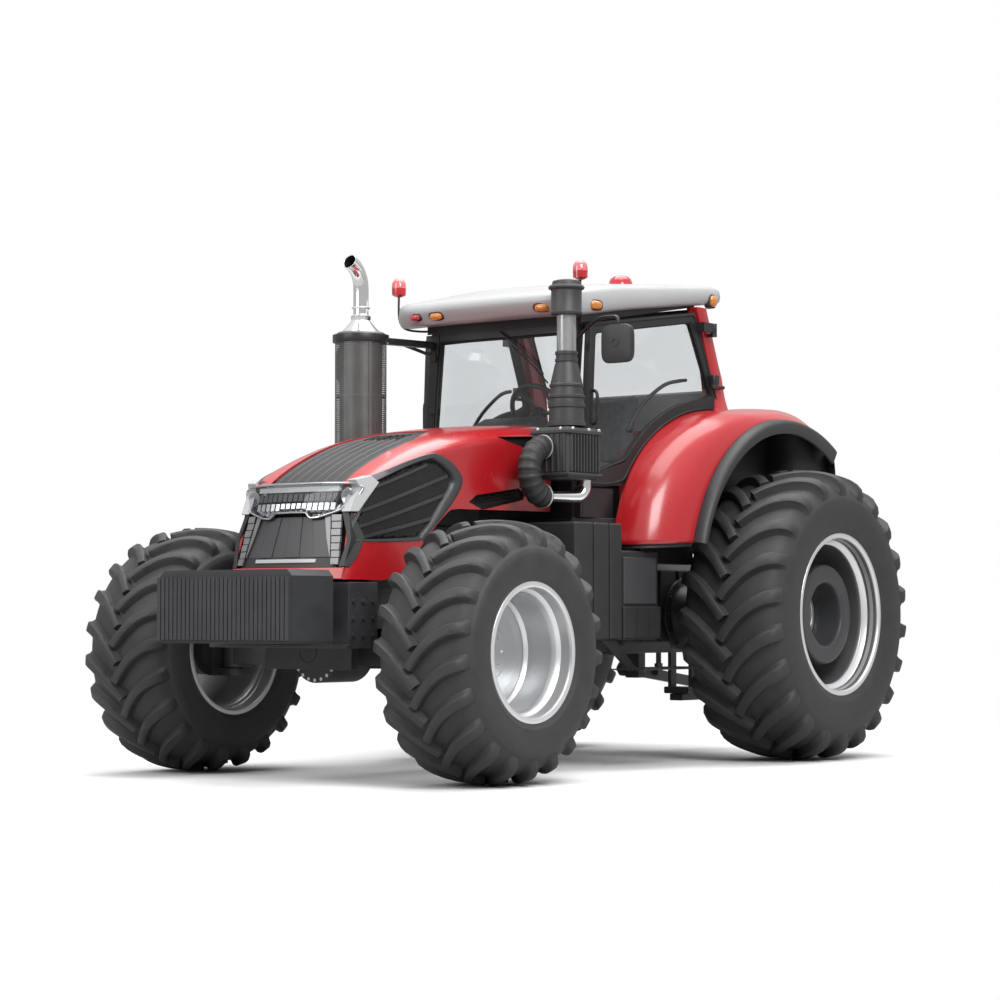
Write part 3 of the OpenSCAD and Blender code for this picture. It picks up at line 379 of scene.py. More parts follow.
for hand, side in HANDS:
    x, y, z = sizes["front"][:3]
    c, body = (x + REAR, side * y, z), "wheel_front_" + hand
    barrel = rounded([(0.3555, 0.2745), (0.3725, 0.2745), (0.3725, 0.285), (0.352, 0.285), (0.341, 0.272),
                      (0.337, 0.212), (0.318, 0.196), (0.307, 0.17), (0.301, 0.012), (0.306, -0.17),
                      (0.320, -0.20), (0.339, -0.212), (0.343, -0.285), (0.3725, -0.285), (0.3725, -0.2745),
                      (0.3555, -0.2745), (0.3545, -0.21), (0.321, -0.185), (0.321, 0.185), (0.3545, 0.21),
                      (0.3555, 0.2745)], 0.007)
    piece("front_rim_" + hand, *lathe(barrel, c, side, 128), silver, body, "rim_front_" + hand, smooth=50)
    # the lip, step and weld rings in the lighter silver are a painted highlight
    lip = rounded([(0.342, 0.283), (0.350, 0.2862), (0.371, 0.2862), (0.3735, 0.279), (0.3735, 0.2742)],
                  0.004)
    piece("front_rim_lip_" + hand, *lathe(lip, c, side, 128), bright, body, smooth=60)
    step = rounded([(0.3372, 0.216), (0.335, 0.214), (0.3215, 0.2005), (0.3195, 0.1965)], 0.003)
    piece("front_rim_step_" + hand, *lathe(step, c, side, 128), bright, body, smooth=60)
    weld = rounded([(0.3035, 0.026), (0.298, 0.020), (0.288, 0.010), (0.284, 0.0035)], 0.004)
    piece("front_rim_weld_" + hand, *lathe(weld, c, side, 128), bright, body, smooth=60)
    disc = rounded([(0.303, 0.002), (0.285, 0.002), (0.230, -0.008), (0.150, -0.010), (0.143, -0.004),
                    (0.060, -0.004), (0.054, 0.002), (0.0001, 0.002)], 0.012)
    behind = rounded([(0.303, -0.020), (0.14, -0.020), (0.135, -0.088), (0.0705, -0.088)], 0.01)
    piece("front_disc_" + hand, *lathe(disc, c, side, 96), silver, body, smooth=50)
    piece("front_disc_back_" + hand, *lathe(behind, c, side, 96), silver, body, smooth=50)
    nuts("front_nuts_" + hand, c, side, ring=0.105, y=-0.004, count=8, r=0.010, tall=0.008, mat=silver,
         body=body)
    x, y, z = sizes["rear"][:3]
    c, body = (x + REAR, side * y, z), "wheel_rear_" + hand
    barrel = rounded([(0.482, 0.3145), (0.500, 0.3145), (0.500, 0.325), (0.476, 0.325), (0.466, 0.310),
                      (0.462, 0.245), (0.440, 0.222), (0.433, 0.20), (0.432, -0.20), (0.442, -0.225),
                      (0.466, -0.245), (0.470, -0.325), (0.500, -0.325), (0.500, -0.3145), (0.482, -0.3145),
                      (0.481, -0.25), (0.448, -0.225), (0.448, 0.225), (0.481, 0.25), (0.482, 0.3145)], 0.008)
    piece("rear_rim_" + hand, *lathe(barrel, c, side, 144), rim_painted_shade, body, "rim_rear_" + hand, smooth=50)
    # the bright lip starts down on the barrel's inner wall, which widens the painted highlight there
    lip = rounded([(0.4630, 0.266), (0.4655, 0.300), (0.4668, 0.309), (0.472, 0.3225), (0.480, 0.3275),
                   (0.4985, 0.3265), (0.501, 0.320), (0.501, 0.3142)], 0.004)
    piece("rear_rim_lip_" + hand, *lathe(lip, c, side, 144), bright, body, smooth=60)
    step = rounded([(0.4630, 0.252), (0.4595, 0.244), (0.4425, 0.228), (0.4320, 0.2235), (0.4320, 0.212)],
                   0.003)
    piece("rear_rim_step_" + hand, *lathe(step, c, side, 144), bright, body, smooth=60)
    dish = rounded([(0.434, -0.044), (0.372, -0.044), (0.330, -0.030), (0.316, 0.03), (0.310, 0.195),
                    (0.302, 0.214), (0.285, 0.221), (0.214, 0.221), (0.196, 0.213), (0.190, 0.19),
                    (0.188, -0.040), (0.0001, -0.040)], 0.014)
    behind = rounded([(0.434, -0.070), (0.33, -0.070), (0.176, -0.110), (0.174, -0.284), (0.061, -0.284)],
                     0.01)
    piece("rear_dish_" + hand, *lathe(dish, c, side, 112), dish_grey, body, smooth=50)
    piece("rear_dish_back_" + hand, *lathe(behind, c, side, 96), dish_grey, body, smooth=50)
    seat = rounded([(0.187, 0.02), (0.180, 0.028), (0.150, 0.030), (0.147, 0.020), (0.147, -0.039)], 0.004)
    piece("rear_hub_ring_" + hand, *lathe(seat, c, side, 96), bright, body, smooth=50)
    nuts("rear_nuts_" + hand, c, side, ring=0.105, y=-0.040, count=8, r=0.016, tall=0.030, mat=bright,
         body=body)
    nuts("rear_dish_bolts_" + hand, c, side, ring=0.385, y=-0.044, count=8, r=0.014, tall=0.022, mat=silver,
         body=body)


# Hood: one pressed and gloss painted panel hinged at the cab, with openings for the top vent, the side
# grilles and two air slots on each side; a painted chin closes it below the grille.
red = surface("body_red", (0.46, 0.011, 0.016), 0.28, coat=0.6, spread=0.05, patch=1.5, grain=260, bump=0.02,
              wave=0.04)
red.node_tree.nodes["Principled BSDF"].inputs["Coat Roughness"].default_value = 0.14
rows = [(1.735, 2.020, 1.935, 0.465, 1.500, 0.0, 0.012), (2.150, 1.992, 1.890, 0.465, 1.495, 0.0, 0.012),
        (2.450, 1.954, 1.845, 0.465, 1.490, 0.0, 0.012), (2.680, 1.912, 1.800, 0.465, 1.480, 0.0, 0.012),
        (2.860, 1.862, 1.760, 0.462, 1.330, 0.020, 0.010), (3.020, 1.804, 1.712, 0.458, 1.150, 0.040, 0.008),
        (3.170, 1.738, 1.665, 0.450, 1.085, 0.070, 0.004), (3.290, 1.674, 1.620, 0.435, 1.085, 0.100, 0.0),
        (3.370, 1.622, 1.580, 0.409, 1.085, 0.125, -0.012),
        (3.410, 1.590, 1.560, 0.375, 1.085, 0.135, -0.028)]


def station(u):
    u = max(0.0, min(len(rows) - 1.0, u))
    i = min(int(u), len(rows) - 2)
    t = u - i
    a, b = rows[i], rows[i + 1]
    before, after = rows[max(i - 1, 0)], rows[min(i + 2, len(rows) - 1)]
    out = []
    for p, q, r, s in zip(before, a, b, after):
        smooth = 0.5 * (2 * q + (r - p) * t + (2 * p - 5 * q + 4 * r - s) * t * t
                        + (3 * q - p - 3 * r + s) * t ** 3)
        out.append(0.5 * smooth + 0.5 * (q + (r - q) * t))
    return out


def hood_at(u, v):
    x, top, shoulder, half, low, lean, tuck = station(u)
    if v < 1:
        y, z = half - tuck + tuck * math.sin(math.pi / 2 * v), low + (shoulder - low) * v
    else:
        a = math.pi / 2 * min(1.0, v - 1)
        y, z = half * max(0.0, math.cos(a)) ** 0.62, shoulder + (top - shoulder) * math.sin(a) ** 0.8
    return Vector((x + lean * (top - z) / (top - low) + REAR, y, z))


def solve(want, value):
    lo, hi = 0.0, len(rows) - 1.0
    for _ in range(40):
        mid = 0.5 * (lo + hi)
        lo, hi = (mid, hi) if value(mid) < want else (lo, mid)
    return 0.5 * (lo + hi)


def hood_side(x, z, out=0.0):
    def v_of(u):
        _, top, shoulder, half, low, _, _ = station(u)
        if z <= shoulder:
            return (z - low) / (shoulder - low)
        return 1 + math.asin(min(1.0, ((z - shoulder) / (top - shoulder)) ** 1.25)) / (math.pi / 2)
    u = solve(x + REAR, lambda u: hood_at(u, v_of(u)).x)
    p = hood_at(u, v_of(u))
    a, b = hood_at(min(u + 0.05, 9), v_of(u)), hood_at(u, v_of(u) + 0.03)
    n = (b - hood_at(u, v_of(u) - 0.03)).cross(a - hood_at(max(u - 0.05, 0), v_of(u)))
    n = n.normalized() if n.y > 0 else -n.normalized()
    return p + n * out


def hood_top(x, y, out=0.0):
    def v_of(u):
        half = station(u)[3]
        return 1 + math.acos(min(1.0, (abs(y) / half) ** (1 / 0.62))) / (math.pi / 2)
    u = solve(x + REAR, lambda u: hood_at(u, v_of(u)).x)
    p = hood_at(u, v_of(u))
    return Vector((x + REAR, y, p.z + out))


def walls(k):
    return [tuple(range(k)), tuple(range(k, 2 * k))] + [(i, (i + 1) % k, k + (i + 1) % k, k + i)
                                                        for i in range(k)]


def prism(outline, axis, lo, hi):
    k = len(outline)
    verts = []
    for h in (lo, hi):
        for a, b in outline:
            verts.append({"y": (a + REAR, h, b), "z": (a + REAR, b, h)}[axis])
    return verts, walls(k)


def carve(obj, verts, faces):
    mesh = bpy.data.meshes.new("cutter")
    mesh.from_pydata([tuple(v) for v in verts], [], faces)
    tidy = bmesh.new()
    tidy.from_mesh(mesh)
    bmesh.ops.recalc_face_normals(tidy, faces=tidy.faces)
    tidy.to_mesh(mesh)
    tidy.free()
    cutter = bpy.data.objects.new("cutter", mesh)
    scene.collection.objects.link(cutter)
    mod = obj.modifiers.new("cut", "BOOLEAN")
    mod.operation = "DIFFERENCE"
    mod.solver = "EXACT"
    mod.object = cutter
    bpy.context.view_layer.update()
    done = bpy.data.meshes.new_from_object(obj.evaluated_get(bpy.context.evaluated_depsgraph_get()))
    obj.modifiers.remove(mod)
    old, obj.data = obj.data, done
    bpy.data.meshes.remove(old)
    bpy.data.objects.remove(cutter)
    bpy.data.meshes.remove(mesh)


def hood_skin(wall):
    steps = 6
    us = [i / steps for i in range(9 * steps + 1)]
    vs = [i / 10 for i in range(10)] + [1 + i / 14 for i in range(15)]
    verts, k = [], 2 * len(vs) - 1
    for depth in (0.0, wall):
        for u in us:
            half = []
            for v in vs:
                p = hood_at(u, v)
                drop = depth * max(0.0, min(1.0, v - 1)) ** 0.5 if v > 1 else 0.0
                pull = depth * (1 if v < 1 else math.cos(math.pi / 2 * (v - 1)) ** 0.5)
                half.append(Vector((p.x, max(0.0, p.y - pull), p.z - drop)))
            half[-1].y = 0.0
            verts += half + [Vector((p.x, -p.y, p.z)) for p in reversed(half[:-1])]
    n, m = len(us), len(us) * k
    faces = quads(n, k) + quads(n, k, m)
    for i in range(n - 1):
        for j in (0, k - 1):
            q = i * k + j
            faces.append((q, q + k, m + q + k, m + q))
    for j in range(k - 1):
        for q in (j, (n - 1) * k + j):
            faces.append((q, q + 1, m + q + 1, m + q))
    return verts, faces


vent_edge = [(3.62, 0.262), (2.81, 0.285), (2.50, 0.175), (2.47, 0.145), (2.47, -0.145), (2.50, -0.175),
             (2.81, -0.285), (3.62, -0.262)]
grille_edge = [(3.345, 1.632), (3.10, 1.722), (2.880, 1.785), (2.785, 1.782), (2.665, 1.735), (2.590, 1.672),
               (2.585, 1.625), (2.640, 1.545), (2.760, 1.435), (2.885, 1.338), (2.960, 1.303), (3.450, 1.288),
               (3.480, 1.340), (3.425, 1.450)]
slot_low = [(2.517, 1.530), (2.450, 1.572), (2.05, 1.625), (1.98, 1.60), (2.00, 1.56), (2.385, 1.490)]
slot_high = [(2.259, 1.912), (1.86, 1.936), (1.80, 1.915), (1.83, 1.868), (1.98, 1.858), (2.153, 1.888)]
hood = piece("hood_panel", *hood_skin(0.012), red, "hood", "hood_shell")
carve(hood, *prism(vent_edge, "z", 1.5, 2.1))
for lo, hi in ((0.2, 0.7), (-0.7, -0.2)):
    for edge in (grille_edge, slot_low, slot_high):
        carve(hood, *prism(edge, "y", lo, hi))
for lo, hi in ((0.24, 0.7), (-0.7, -0.24)):
    carve(hood, *prism([(3.392, 1.616), (3.62, 1.616), (3.62, 1.440), (3.425, 1.440)], "y", lo, hi))
mod = hood.modifiers.new("bevel", "BEVEL")
mod.width, mod.segments, mod.limit_method, mod.angle_limit = 0.0015, 2, "ANGLE", math.radians(40)
hood.data.polygons.foreach_set("use_smooth", [True] * len(hood.data.polygons))
hood.data.set_sharp_from_angle(angle=math.radians(32))

# front face of the nose
NOSE = lambda y, z: 3.410 + 0.135 * (1.590 - z) / 0.505 + 0.055 * (1 - min(1.0, abs(y) / 0.40) ** 2.4)


def nose_strip(left, right, out, thick, name, mat, node=(), steps=12, bevel=0.003):
    verts = []
    pairs = [(Vector(l), Vector(r)) for l, r in zip(left, right)]
    k = steps + 1
    for depth in (0.0, thick):
        for l, r in pairs:
            for i in range(k):
                p = l.lerp(r, i / steps)
                verts.append((NOSE(p[0], p[1]) + out - depth + REAR, p[0], p[1]))
    m = len(pairs) * k
    faces = quads(len(pairs), k) + quads(len(pairs), k, m)
    rim = [i for i in range(k)] + [a * k + k - 1 for a in range(1, len(pairs))]
    rim += [(len(pairs) - 1) * k + i for i in range(k - 2, -1, -1)] + [a * k
            for a in range(len(pairs) - 2, 0, -1)]
    faces += [(p, q, m + q, m + p) for p, q in zip(rim, rim[1:] + rim[:1])]
    return piece(name, verts, faces, mat, "hood", node, 40, bevel)


nose_strip([(-0.400, 1.085), (-0.402, 1.150)], [(0.400, 1.085), (0.402, 1.150)], 0.004, 0.05, "hood_chin",
           red, steps=24, bevel=0.006)


# Top vent: a black moulded plastic insert with long ribs, one cross joint and short slots near its back,
# whose near-black insides are painted shadow. It lies a little below the painted skin and is clipped into the
# opening from inside.
black = surface("black_plastic", (0.020, 0.0205, 0.022), 0.46, spread=0.15, patch=6.0, grain=420, bump=0.12)
verts = []
xs = [2.472 + (3.437 - 2.472) * i / 60 for i in range(61)]
ribs = [(-1 + 2 * j / 96) for j in range(97)]
for x in xs:
    if x > 2.81:
        wide = 0.283 - 0.021 * (x - 2.81) / 0.79
    else:
        wide = 0.173 + 0.110 * (x - 2.50) / 0.31 if x > 2.50 else 0.145 + 0.028 * (x - 2.47) / 0.03
    for j, t in enumerate(ribs):
        raised = 0.0035 if (j // 4) % 3 == 1 else 0.0
        joint = -0.004 if abs(x - 3.02) < 0.012 else 0.0
        verts.append(hood_top(x, wide * t, -0.010 + raised + joint))
vent = piece("hood_vent_panel", verts, quads(len(xs), len(ribs)), black, "hood", "hood_vent", smooth=25)
mod = vent.modifiers.new("thickness", "SOLIDIFY")
mod.thickness = 0.004
# near-black painted shadow for slots, grooves, lamp pupils, the sheets behind grilles and the inside of the
# exhaust pipe
painted_shadow = surface("shadow_black", (0.006, 0.006, 0.007), 0.7, spread=0.2, grain=300, bump=0.1)
verts, faces = [], []
for row in range(3):
    for col in range(6):
        x, y = 2.62 + 0.05 * row, -0.115 + 0.046 * col
        base = len(verts)
        for dx, dy, up in ((0, 0, 0), (0.040, 0, 0), (0.040, 0.016, 0), (0, 0.016, 0), (0.004, 0.003, 1),
                           (0.036, 0.003, 1), (0.036, 0.013, 1), (0.004, 0.013, 1)):
            verts.append(hood_top(x + dx, y + dy, -0.0062 + 0.0035 * (1 - up)))
        faces += [(base + i, base + (i + 1) % 4, base + 4 + (i + 1) % 4, base + 4 + i)
                  for i in range(4)] + [tuple(base + 4 + i for i in range(4))]
piece("hood_vent_slots", verts, faces, painted_shadow, "hood", smooth=20)


# Side grilles: a thick dark grey plastic frame round a woven black wire mesh with four slanted bars. The
# frame is moulded in one piece and clipped into the hood's side opening; the mesh is held behind it.
frame_grey = surface("frame_grey", (0.050, 0.051, 0.054), 0.40, spread=0.1, patch=4.0, grain=420, bump=0.06)
mesh_edge = [(3.335, 1.590), (3.10, 1.683), (2.885, 1.742), (2.800, 1.735), (2.715, 1.692), (2.675, 1.645),
             (2.690, 1.600), (2.760, 1.520), (2.850, 1.415), (2.935, 1.345), (2.990, 1.322), (3.405, 1.306),
             (3.445, 1.345), (3.395, 1.450)]


def inside(p, poly):
    hit = False
    for (x0, z0), (x1, z1) in zip(poly, poly[1:] + poly[:1]):
        if (z0 > p[1]) != (z1 > p[1]) and p[0] < x0 + (p[1] - z0) * (x1 - x0) / (z1 - z0):
            hit = not hit
    return hit


def wires(poly, slope, gap, across, wide, out, mirror):
    verts, faces = [], []
    d = Vector((math.cos(slope), math.sin(slope)))
    n = Vector((-d[1], d[0]))
    mid = Vector((3.05, 1.50))
    for i in range(-int(0.62 / gap), int(0.62 / gap) + 1):
        run = [mid + n * gap * i + d * (-0.62 + 0.02 * s) for s in range(63)]
        run = [p for p in run if inside(p, poly)]
        if len(run) < 2:
            continue
        base = len(verts)
        for p in run:
            for off, lift in ((-wide, -across), (-wide, 0), (wide, 0), (wide, -across)):
                q = hood_side(p[0] + n[0] * off, p[1] + n[1] * off, out + lift)
                verts.append((q.x, q.y * mirror, q.z))
        faces += quads(len(run), 4, base)
    return verts, faces


for hand, side in HANDS:
    ring_o = [Vector(p) for p in curve_through(grille_edge + grille_edge[:1], 5)[:-1]]
    ring_i = [Vector(p) for p in curve_through(mesh_edge + mesh_edge[:1], 5)[:-1]]
    verts = []
    for o, i in zip(ring_o, ring_i):
        for t, out in ((0.0, -0.016), (0.0, 0.0), (0.16, 0.006), (0.62, 0.0045), (0.90, -0.010),
                       (1.0, -0.030)):
            q = o.lerp(i, t)
            p = hood_side(q[0], q[1], out)
            verts.append((p.x, side * p.y, p.z))
    piece("grille_frame_" + hand, verts, spun_faces(len(ring_o), 6), frame_grey, "hood",
          "side_grilles" if side > 0 else (), smooth=50)
    verts, faces = [], []
    for slope in (math.radians(62), math.radians(-40)):
        v, f = wires(mesh_edge, slope, gap=0.0125, across=0.003, wide=0.0028, out=-0.018, mirror=side)
        faces += [tuple(i + len(verts) for i in q) for q in f]
        verts += v
    piece("grille_mesh_" + hand, verts, faces, black, "hood", smooth=30)
    # a near-black sheet behind the mesh is painted shadow for the inside of the hood
    verts = []
    for q in ring_i:
        p = hood_side(q[0], q[1], -0.032)
        verts.append((p.x, side * p.y, p.z))
    piece("grille_back_" + hand, verts, [tuple(range(len(verts)))], painted_shadow, "hood")
    verts, faces = [], []
    for (x0, z0), (x1, z1) in (((3.345, 1.572), (2.890, 1.722)), ((3.395, 1.455), (2.712, 1.668)),
                               ((3.440, 1.362), (2.735, 1.560)), ((3.40, 1.312), (2.850, 1.425))):
        base = len(verts)
        for s in range(13):
            x, z = x0 + (x1 - x0) * s / 12, z0 + (z1 - z0) * s / 12
            for dz, out in ((-0.010, -0.022), (-0.009, -0.008), (0.007, -0.006), (0.009, -0.022)):
                p = hood_side(x, z + dz, out)
                verts.append((p.x, side * p.y, p.z))
        faces += quads(13, 4, base)
    piece("grille_bars_" + hand, verts, faces, frame_grey, "hood", smooth=30)


# Air slots: near-black trays fixed behind the two cut-outs in each side of the hood are painted shadow for
# the shade inside them. The lower tray has three thin moulded black plastic louvre blades.
for hand, side in HANDS:
    for name, edge in (("low", slot_low), ("high", slot_high)):
        verts = []
        for depth in (-0.001, -0.028):
            for x, z in edge:
                p = hood_side(x, z, -0.012 if depth > -0.01 else depth)
                verts.append((p.x, side * p.y, p.z))
        k = len(edge)
        faces = [tuple(range(k, 2 * k))] + [(i, (i + 1) % k, k + (i + 1) % k, k + i) for i in range(k)]
        piece("hood_slot_%s_%s" % (name, hand), verts, faces, painted_shadow, "hood", smooth=20)
    verts, faces = [], []
    for i in range(3):
        base = len(verts)
        for s in range(9):
            t = s / 8
            x, z = 2.44 - 0.40 * t, 1.522 + 0.014 * i + (0.050 + 0.006 * i) * t
            for dz, out in ((-0.003, -0.020), (0.003, -0.010)):
                p = hood_side(x, z + dz, out)
                verts.append((p.x, side * p.y, p.z))
        faces += quads(9, 2, base)
    piece("hood_slot_blades_" + hand, verts, faces, black, "hood", smooth=30)


# Headlamps: one wide clear lens over the nose with a stepped lower edge, bright inside, a row of dark lamp
# fins between two round projectors, and a pale hook-shaped trim that wraps round each side.
chrome = surface("bright_chrome", (0.86, 0.86, 0.87), 0.09, metal=1.0, spread=0.03, grain=300, bump=0.01,
                 wave=0.03)
lamp_chrome = surface("lamp_chrome", (0.52, 0.52, 0.53), 0.22, metal=1.0, spread=0.06, patch=12.0, grain=300,
                      bump=0.03, wave=0.05)
lamp_strip = surface("lamp_strip", (0.25, 0.25, 0.255), 0.45, metal=0.6, spread=0.10, patch=20.0, grain=300,
                     bump=0.05)
pale = surface("pale_trim", (0.50, 0.505, 0.51), 0.36, coat=0.3, spread=0.04, grain=300, bump=0.02)


def pane(name, patch, deep, light, rough):
    mat = bpy.data.materials.new(name)
    mat.use_nodes = True
    nodes, links = mat.node_tree.nodes, mat.node_tree.links
    nodes.remove(nodes["Principled BSDF"])
    through = nodes.new("ShaderNodeBsdfTransparent")
    cloud = nodes.new("ShaderNodeTexNoise")
    cloud.inputs["Scale"].default_value = patch
    tone = nodes.new("ShaderNodeValToRGB")
    tone.color_ramp.elements[0].color = deep
    tone.color_ramp.elements[1].color = light
    links.new(cloud.outputs["Fac"], tone.inputs["Fac"])
    links.new(tone.outputs["Color"], through.inputs["Color"])
    shine = nodes.new("ShaderNodeBsdfGlossy")
    shine.inputs["Roughness"].default_value = rough
    edge = nodes.new("ShaderNodeLayerWeight")
    edge.inputs["Blend"].default_value = 0.5
    steep = nodes.new("ShaderNodeMath")
    steep.operation = "POWER"
    steep.inputs[1].default_value = 4.0
    links.new(edge.outputs["Facing"], steep.inputs[0])
    share = nodes.new("ShaderNodeMath")
    share.operation = "MULTIPLY_ADD"
    share.inputs[1].default_value = 0.5
    share.inputs[2].default_value = 0.04
    links.new(steep.outputs["Value"], share.inputs[0])
    both = nodes.new("ShaderNodeMixShader")
    links.new(share.outputs["Value"], both.inputs["Fac"])
    links.new(through.outputs["BSDF"], both.inputs[1])
    links.new(shine.outputs["BSDF"], both.inputs[2])
    links.new(both.outputs["Shader"], nodes["Material Output"].inputs["Surface"])
    return mat


clear = pane("clear_lens", 8.0, (0.80, 0.82, 0.83, 1), (0.90, 0.91, 0.92, 1), 0.03)


def sweep(name, path, radius, mat, body, node=(), sides=12, closed=False, cap=True):
    pts = [Vector(p) for p in path]
    n = len(pts)
    verts, faces, up = [], [], None
    for i, p in enumerate(pts):
        d = (pts[(i + 1) % n] - pts[i - 1]) if closed else pts[min(i + 1, n - 1)] - pts[max(i - 1, 0)]
        d.normalize()
        if up is None:
            up = d.orthogonal().normalized()
        up = (up - d * up.dot(d)).normalized()
        w = d.cross(up)
        r = radius(i / (n - 1)) if callable(radius) else radius
        verts += [p + (up * math.cos(2 * math.pi * a / sides) + w * math.sin(2 * math.pi * a / sides)) * r
                  for a in range(sides)]
    for i in range(n if closed else n - 1):
        j = (i + 1) % n
        faces += [(i * sides + a, i * sides + (a + 1) % sides, j * sides + (a + 1) % sides, j * sides + a)
                  for a in range(sides)]
    if cap and not closed:
        faces += [tuple(range(sides)), tuple((n - 1) * sides + a for a in range(sides))]
    return piece(name, verts, faces, mat, body, node, smooth=45)


def bands(rings, k):
    starts = [(j * k + i, j * k + (i + 1) % k) for j in range(rings) for i in range(k)]
    return [(a, b, b + k, a + k) for a, b in starts]


half = [(0.0, 1.607), (0.20, 1.607), (0.385, 1.602), (0.424, 1.578), (0.385, 1.500), (0.318, 1.455),
        (0.205, 1.421), (0.140, 1.417), (0.108, 1.448), (0.0, 1.450)]
lens_edge = half[:-1] + [(0.0, 1.450)] + [(-y, z) for y, z in reversed(half[1:-1])]
lens_edge = [(p[0], p[1]) for p in rounded(lens_edge + lens_edge[:2], 0.016, 3)[1:-1]]
shape = lambda y, z, out: (NOSE(y, z) + out - 0.25 * max(0.0, abs(y) - 0.33) + REAR, y, z)
middle = (0.0, 1.525)
verts, k = [], len(lens_edge)
for ring in range(5):
    s = 1 - ring / 5
    verts += [shape(middle[0] + (y - middle[0]) * s, middle[1] + (z - middle[1]) * s,
                    0.008 + 0.016 * (1 - s * s)) for y, z in lens_edge]
verts.append(shape(*middle, 0.024))
faces = bands(4, k) + [(4 * k + i, 4 * k + (i + 1) % k, 5 * k) for i in range(k)]
piece("lamp_lens", verts, faces, clear, "hood", smooth=60)
verts = []
for s, out in ((1.0, 0.006), (0.985, -0.004), (0.94, -0.040), (0.60, -0.052), (0.20, -0.052)):
    verts += [shape(y * s, middle[1] + (z - middle[1]) * s, out) for y, z in lens_edge]
faces = bands(4, k) + [tuple(4 * k + i for i in range(k))]
piece("lamp_reflector", verts, faces, lamp_chrome, "hood", "headlamps", smooth=40)
sweep("lamp_bezel", [shape(y, z, 0.004) for y, z in lens_edge], 0.0065, lamp_chrome, "hood", closed=True,
      sides=8)
verts, fins, caps, bars = [], [], [], []
for i in range(15):
    y = -0.266 + 0.038 * i
    for group, lo, hi, wide, deep in ((0, 1.512, 1.552, 0.013, -0.012), (1, 1.462, 1.500, 0.012, -0.006),
                                      (2, 1.562, 1.590, 0.0188, -0.004)):
        if group == 1 and lo < 1.5 and abs(y) < 0.1:
            lo = 1.472
        base = len(verts)
        for out in (deep, -0.050):
            verts += [shape(y - wide, lo, out), shape(y + wide, lo, out - 0.004),
                      shape(y + wide, hi, out - 0.004), shape(y - wide, hi, out)]
        box = [(base, base + 1, base + 2, base + 3)]
        box += [(base + a, base + (a + 1) % 4, base + 4 + (a + 1) % 4, base + 4 + a) for a in range(4)]
        (fins, caps, bars)[group].extend(box)
piece("lamp_fins", verts, fins, frame_grey, "hood", smooth=20)
piece("lamp_facets", verts, caps, lamp_chrome, "hood", smooth=20)
piece("lamp_light_bar", verts, bars, pale, "hood", smooth=20)
for hand, side in HANDS:
    c = Vector(shape(side * 0.335, 1.535, -0.012))
    # the near-black pupil behind each projector's clear eye is painted shadow
    for name, r, out, mat in (("ring", 0.040, 0.0, lamp_chrome), ("eye", 0.031, 0.002, clear),
                              ("pupil", 0.022, -0.012, painted_shadow)):
        verts = [(c.x + out - 0.010 * (1 - s), c.y + r * s * math.cos(a), c.z + r * s * math.sin(a))
                 for s in (1.0, 0.66, 0.33) for a in around(28)]
        faces = bands(2, 28) + [tuple(range(56, 84))]
        piece("lamp_%s_%s" % (name, hand), verts, faces, mat, "hood", smooth=60)
    hook = [(3.425, 1.622), (3.346, 1.646), (3.296, 1.608), (3.362, 1.530), (3.424, 1.448), (3.476, 1.448),
            (3.440, 1.520), (3.402, 1.580)]
    verts = []
    for out in (0.014, -0.045):
        for x, z in hook:
            level = lambda u: min(1.0, (z - station(u)[4]) / (station(u)[2] - station(u)[4]))
            u = solve(x + REAR, lambda u: hood_at(u, level(u)).x)
            verts.append((x + REAR, side * (hood_at(u, level(u)).y + out), z))
    piece("lamp_trim_" + hand, verts, walls(len(hook)), pale, "hood", smooth=30, bevel=0.004)


# Nose grille: a dark panel of upright facets between bright ribbed side strips and black posts, with a bright
# strip below; moulded parts clipped into the hood.
bars = [(-0.225 + 0.45 * i / 6) for i in range(7)]
for i in range(6):
    a, b = bars[i], bars[i + 1]
    low = lambda y: y * 0.295 / 0.225
    nose_strip([(low(a), 1.205), (a, 1.425)], [(low(b), 1.205), (b, 1.425)],
               -0.018 + (0.006 if i % 2 else 0.0), 0.012, "grille_panel_%d" % i, frame_grey,
               "nose_grille" if i == 0 else (), steps=3, bevel=0.002)
nose_strip([(-0.345, 1.150), (-0.335, 1.205)], [(0.345, 1.150), (0.335, 1.205)], -0.016, 0.02, "grille_sill",
           black, steps=16)
nose_strip([(-0.215, 1.176), (-0.215, 1.196)], [(0.215, 1.176), (0.215, 1.196)], -0.010, 0.008,
           "grille_bright_strip", pale, steps=16, bevel=0.002)
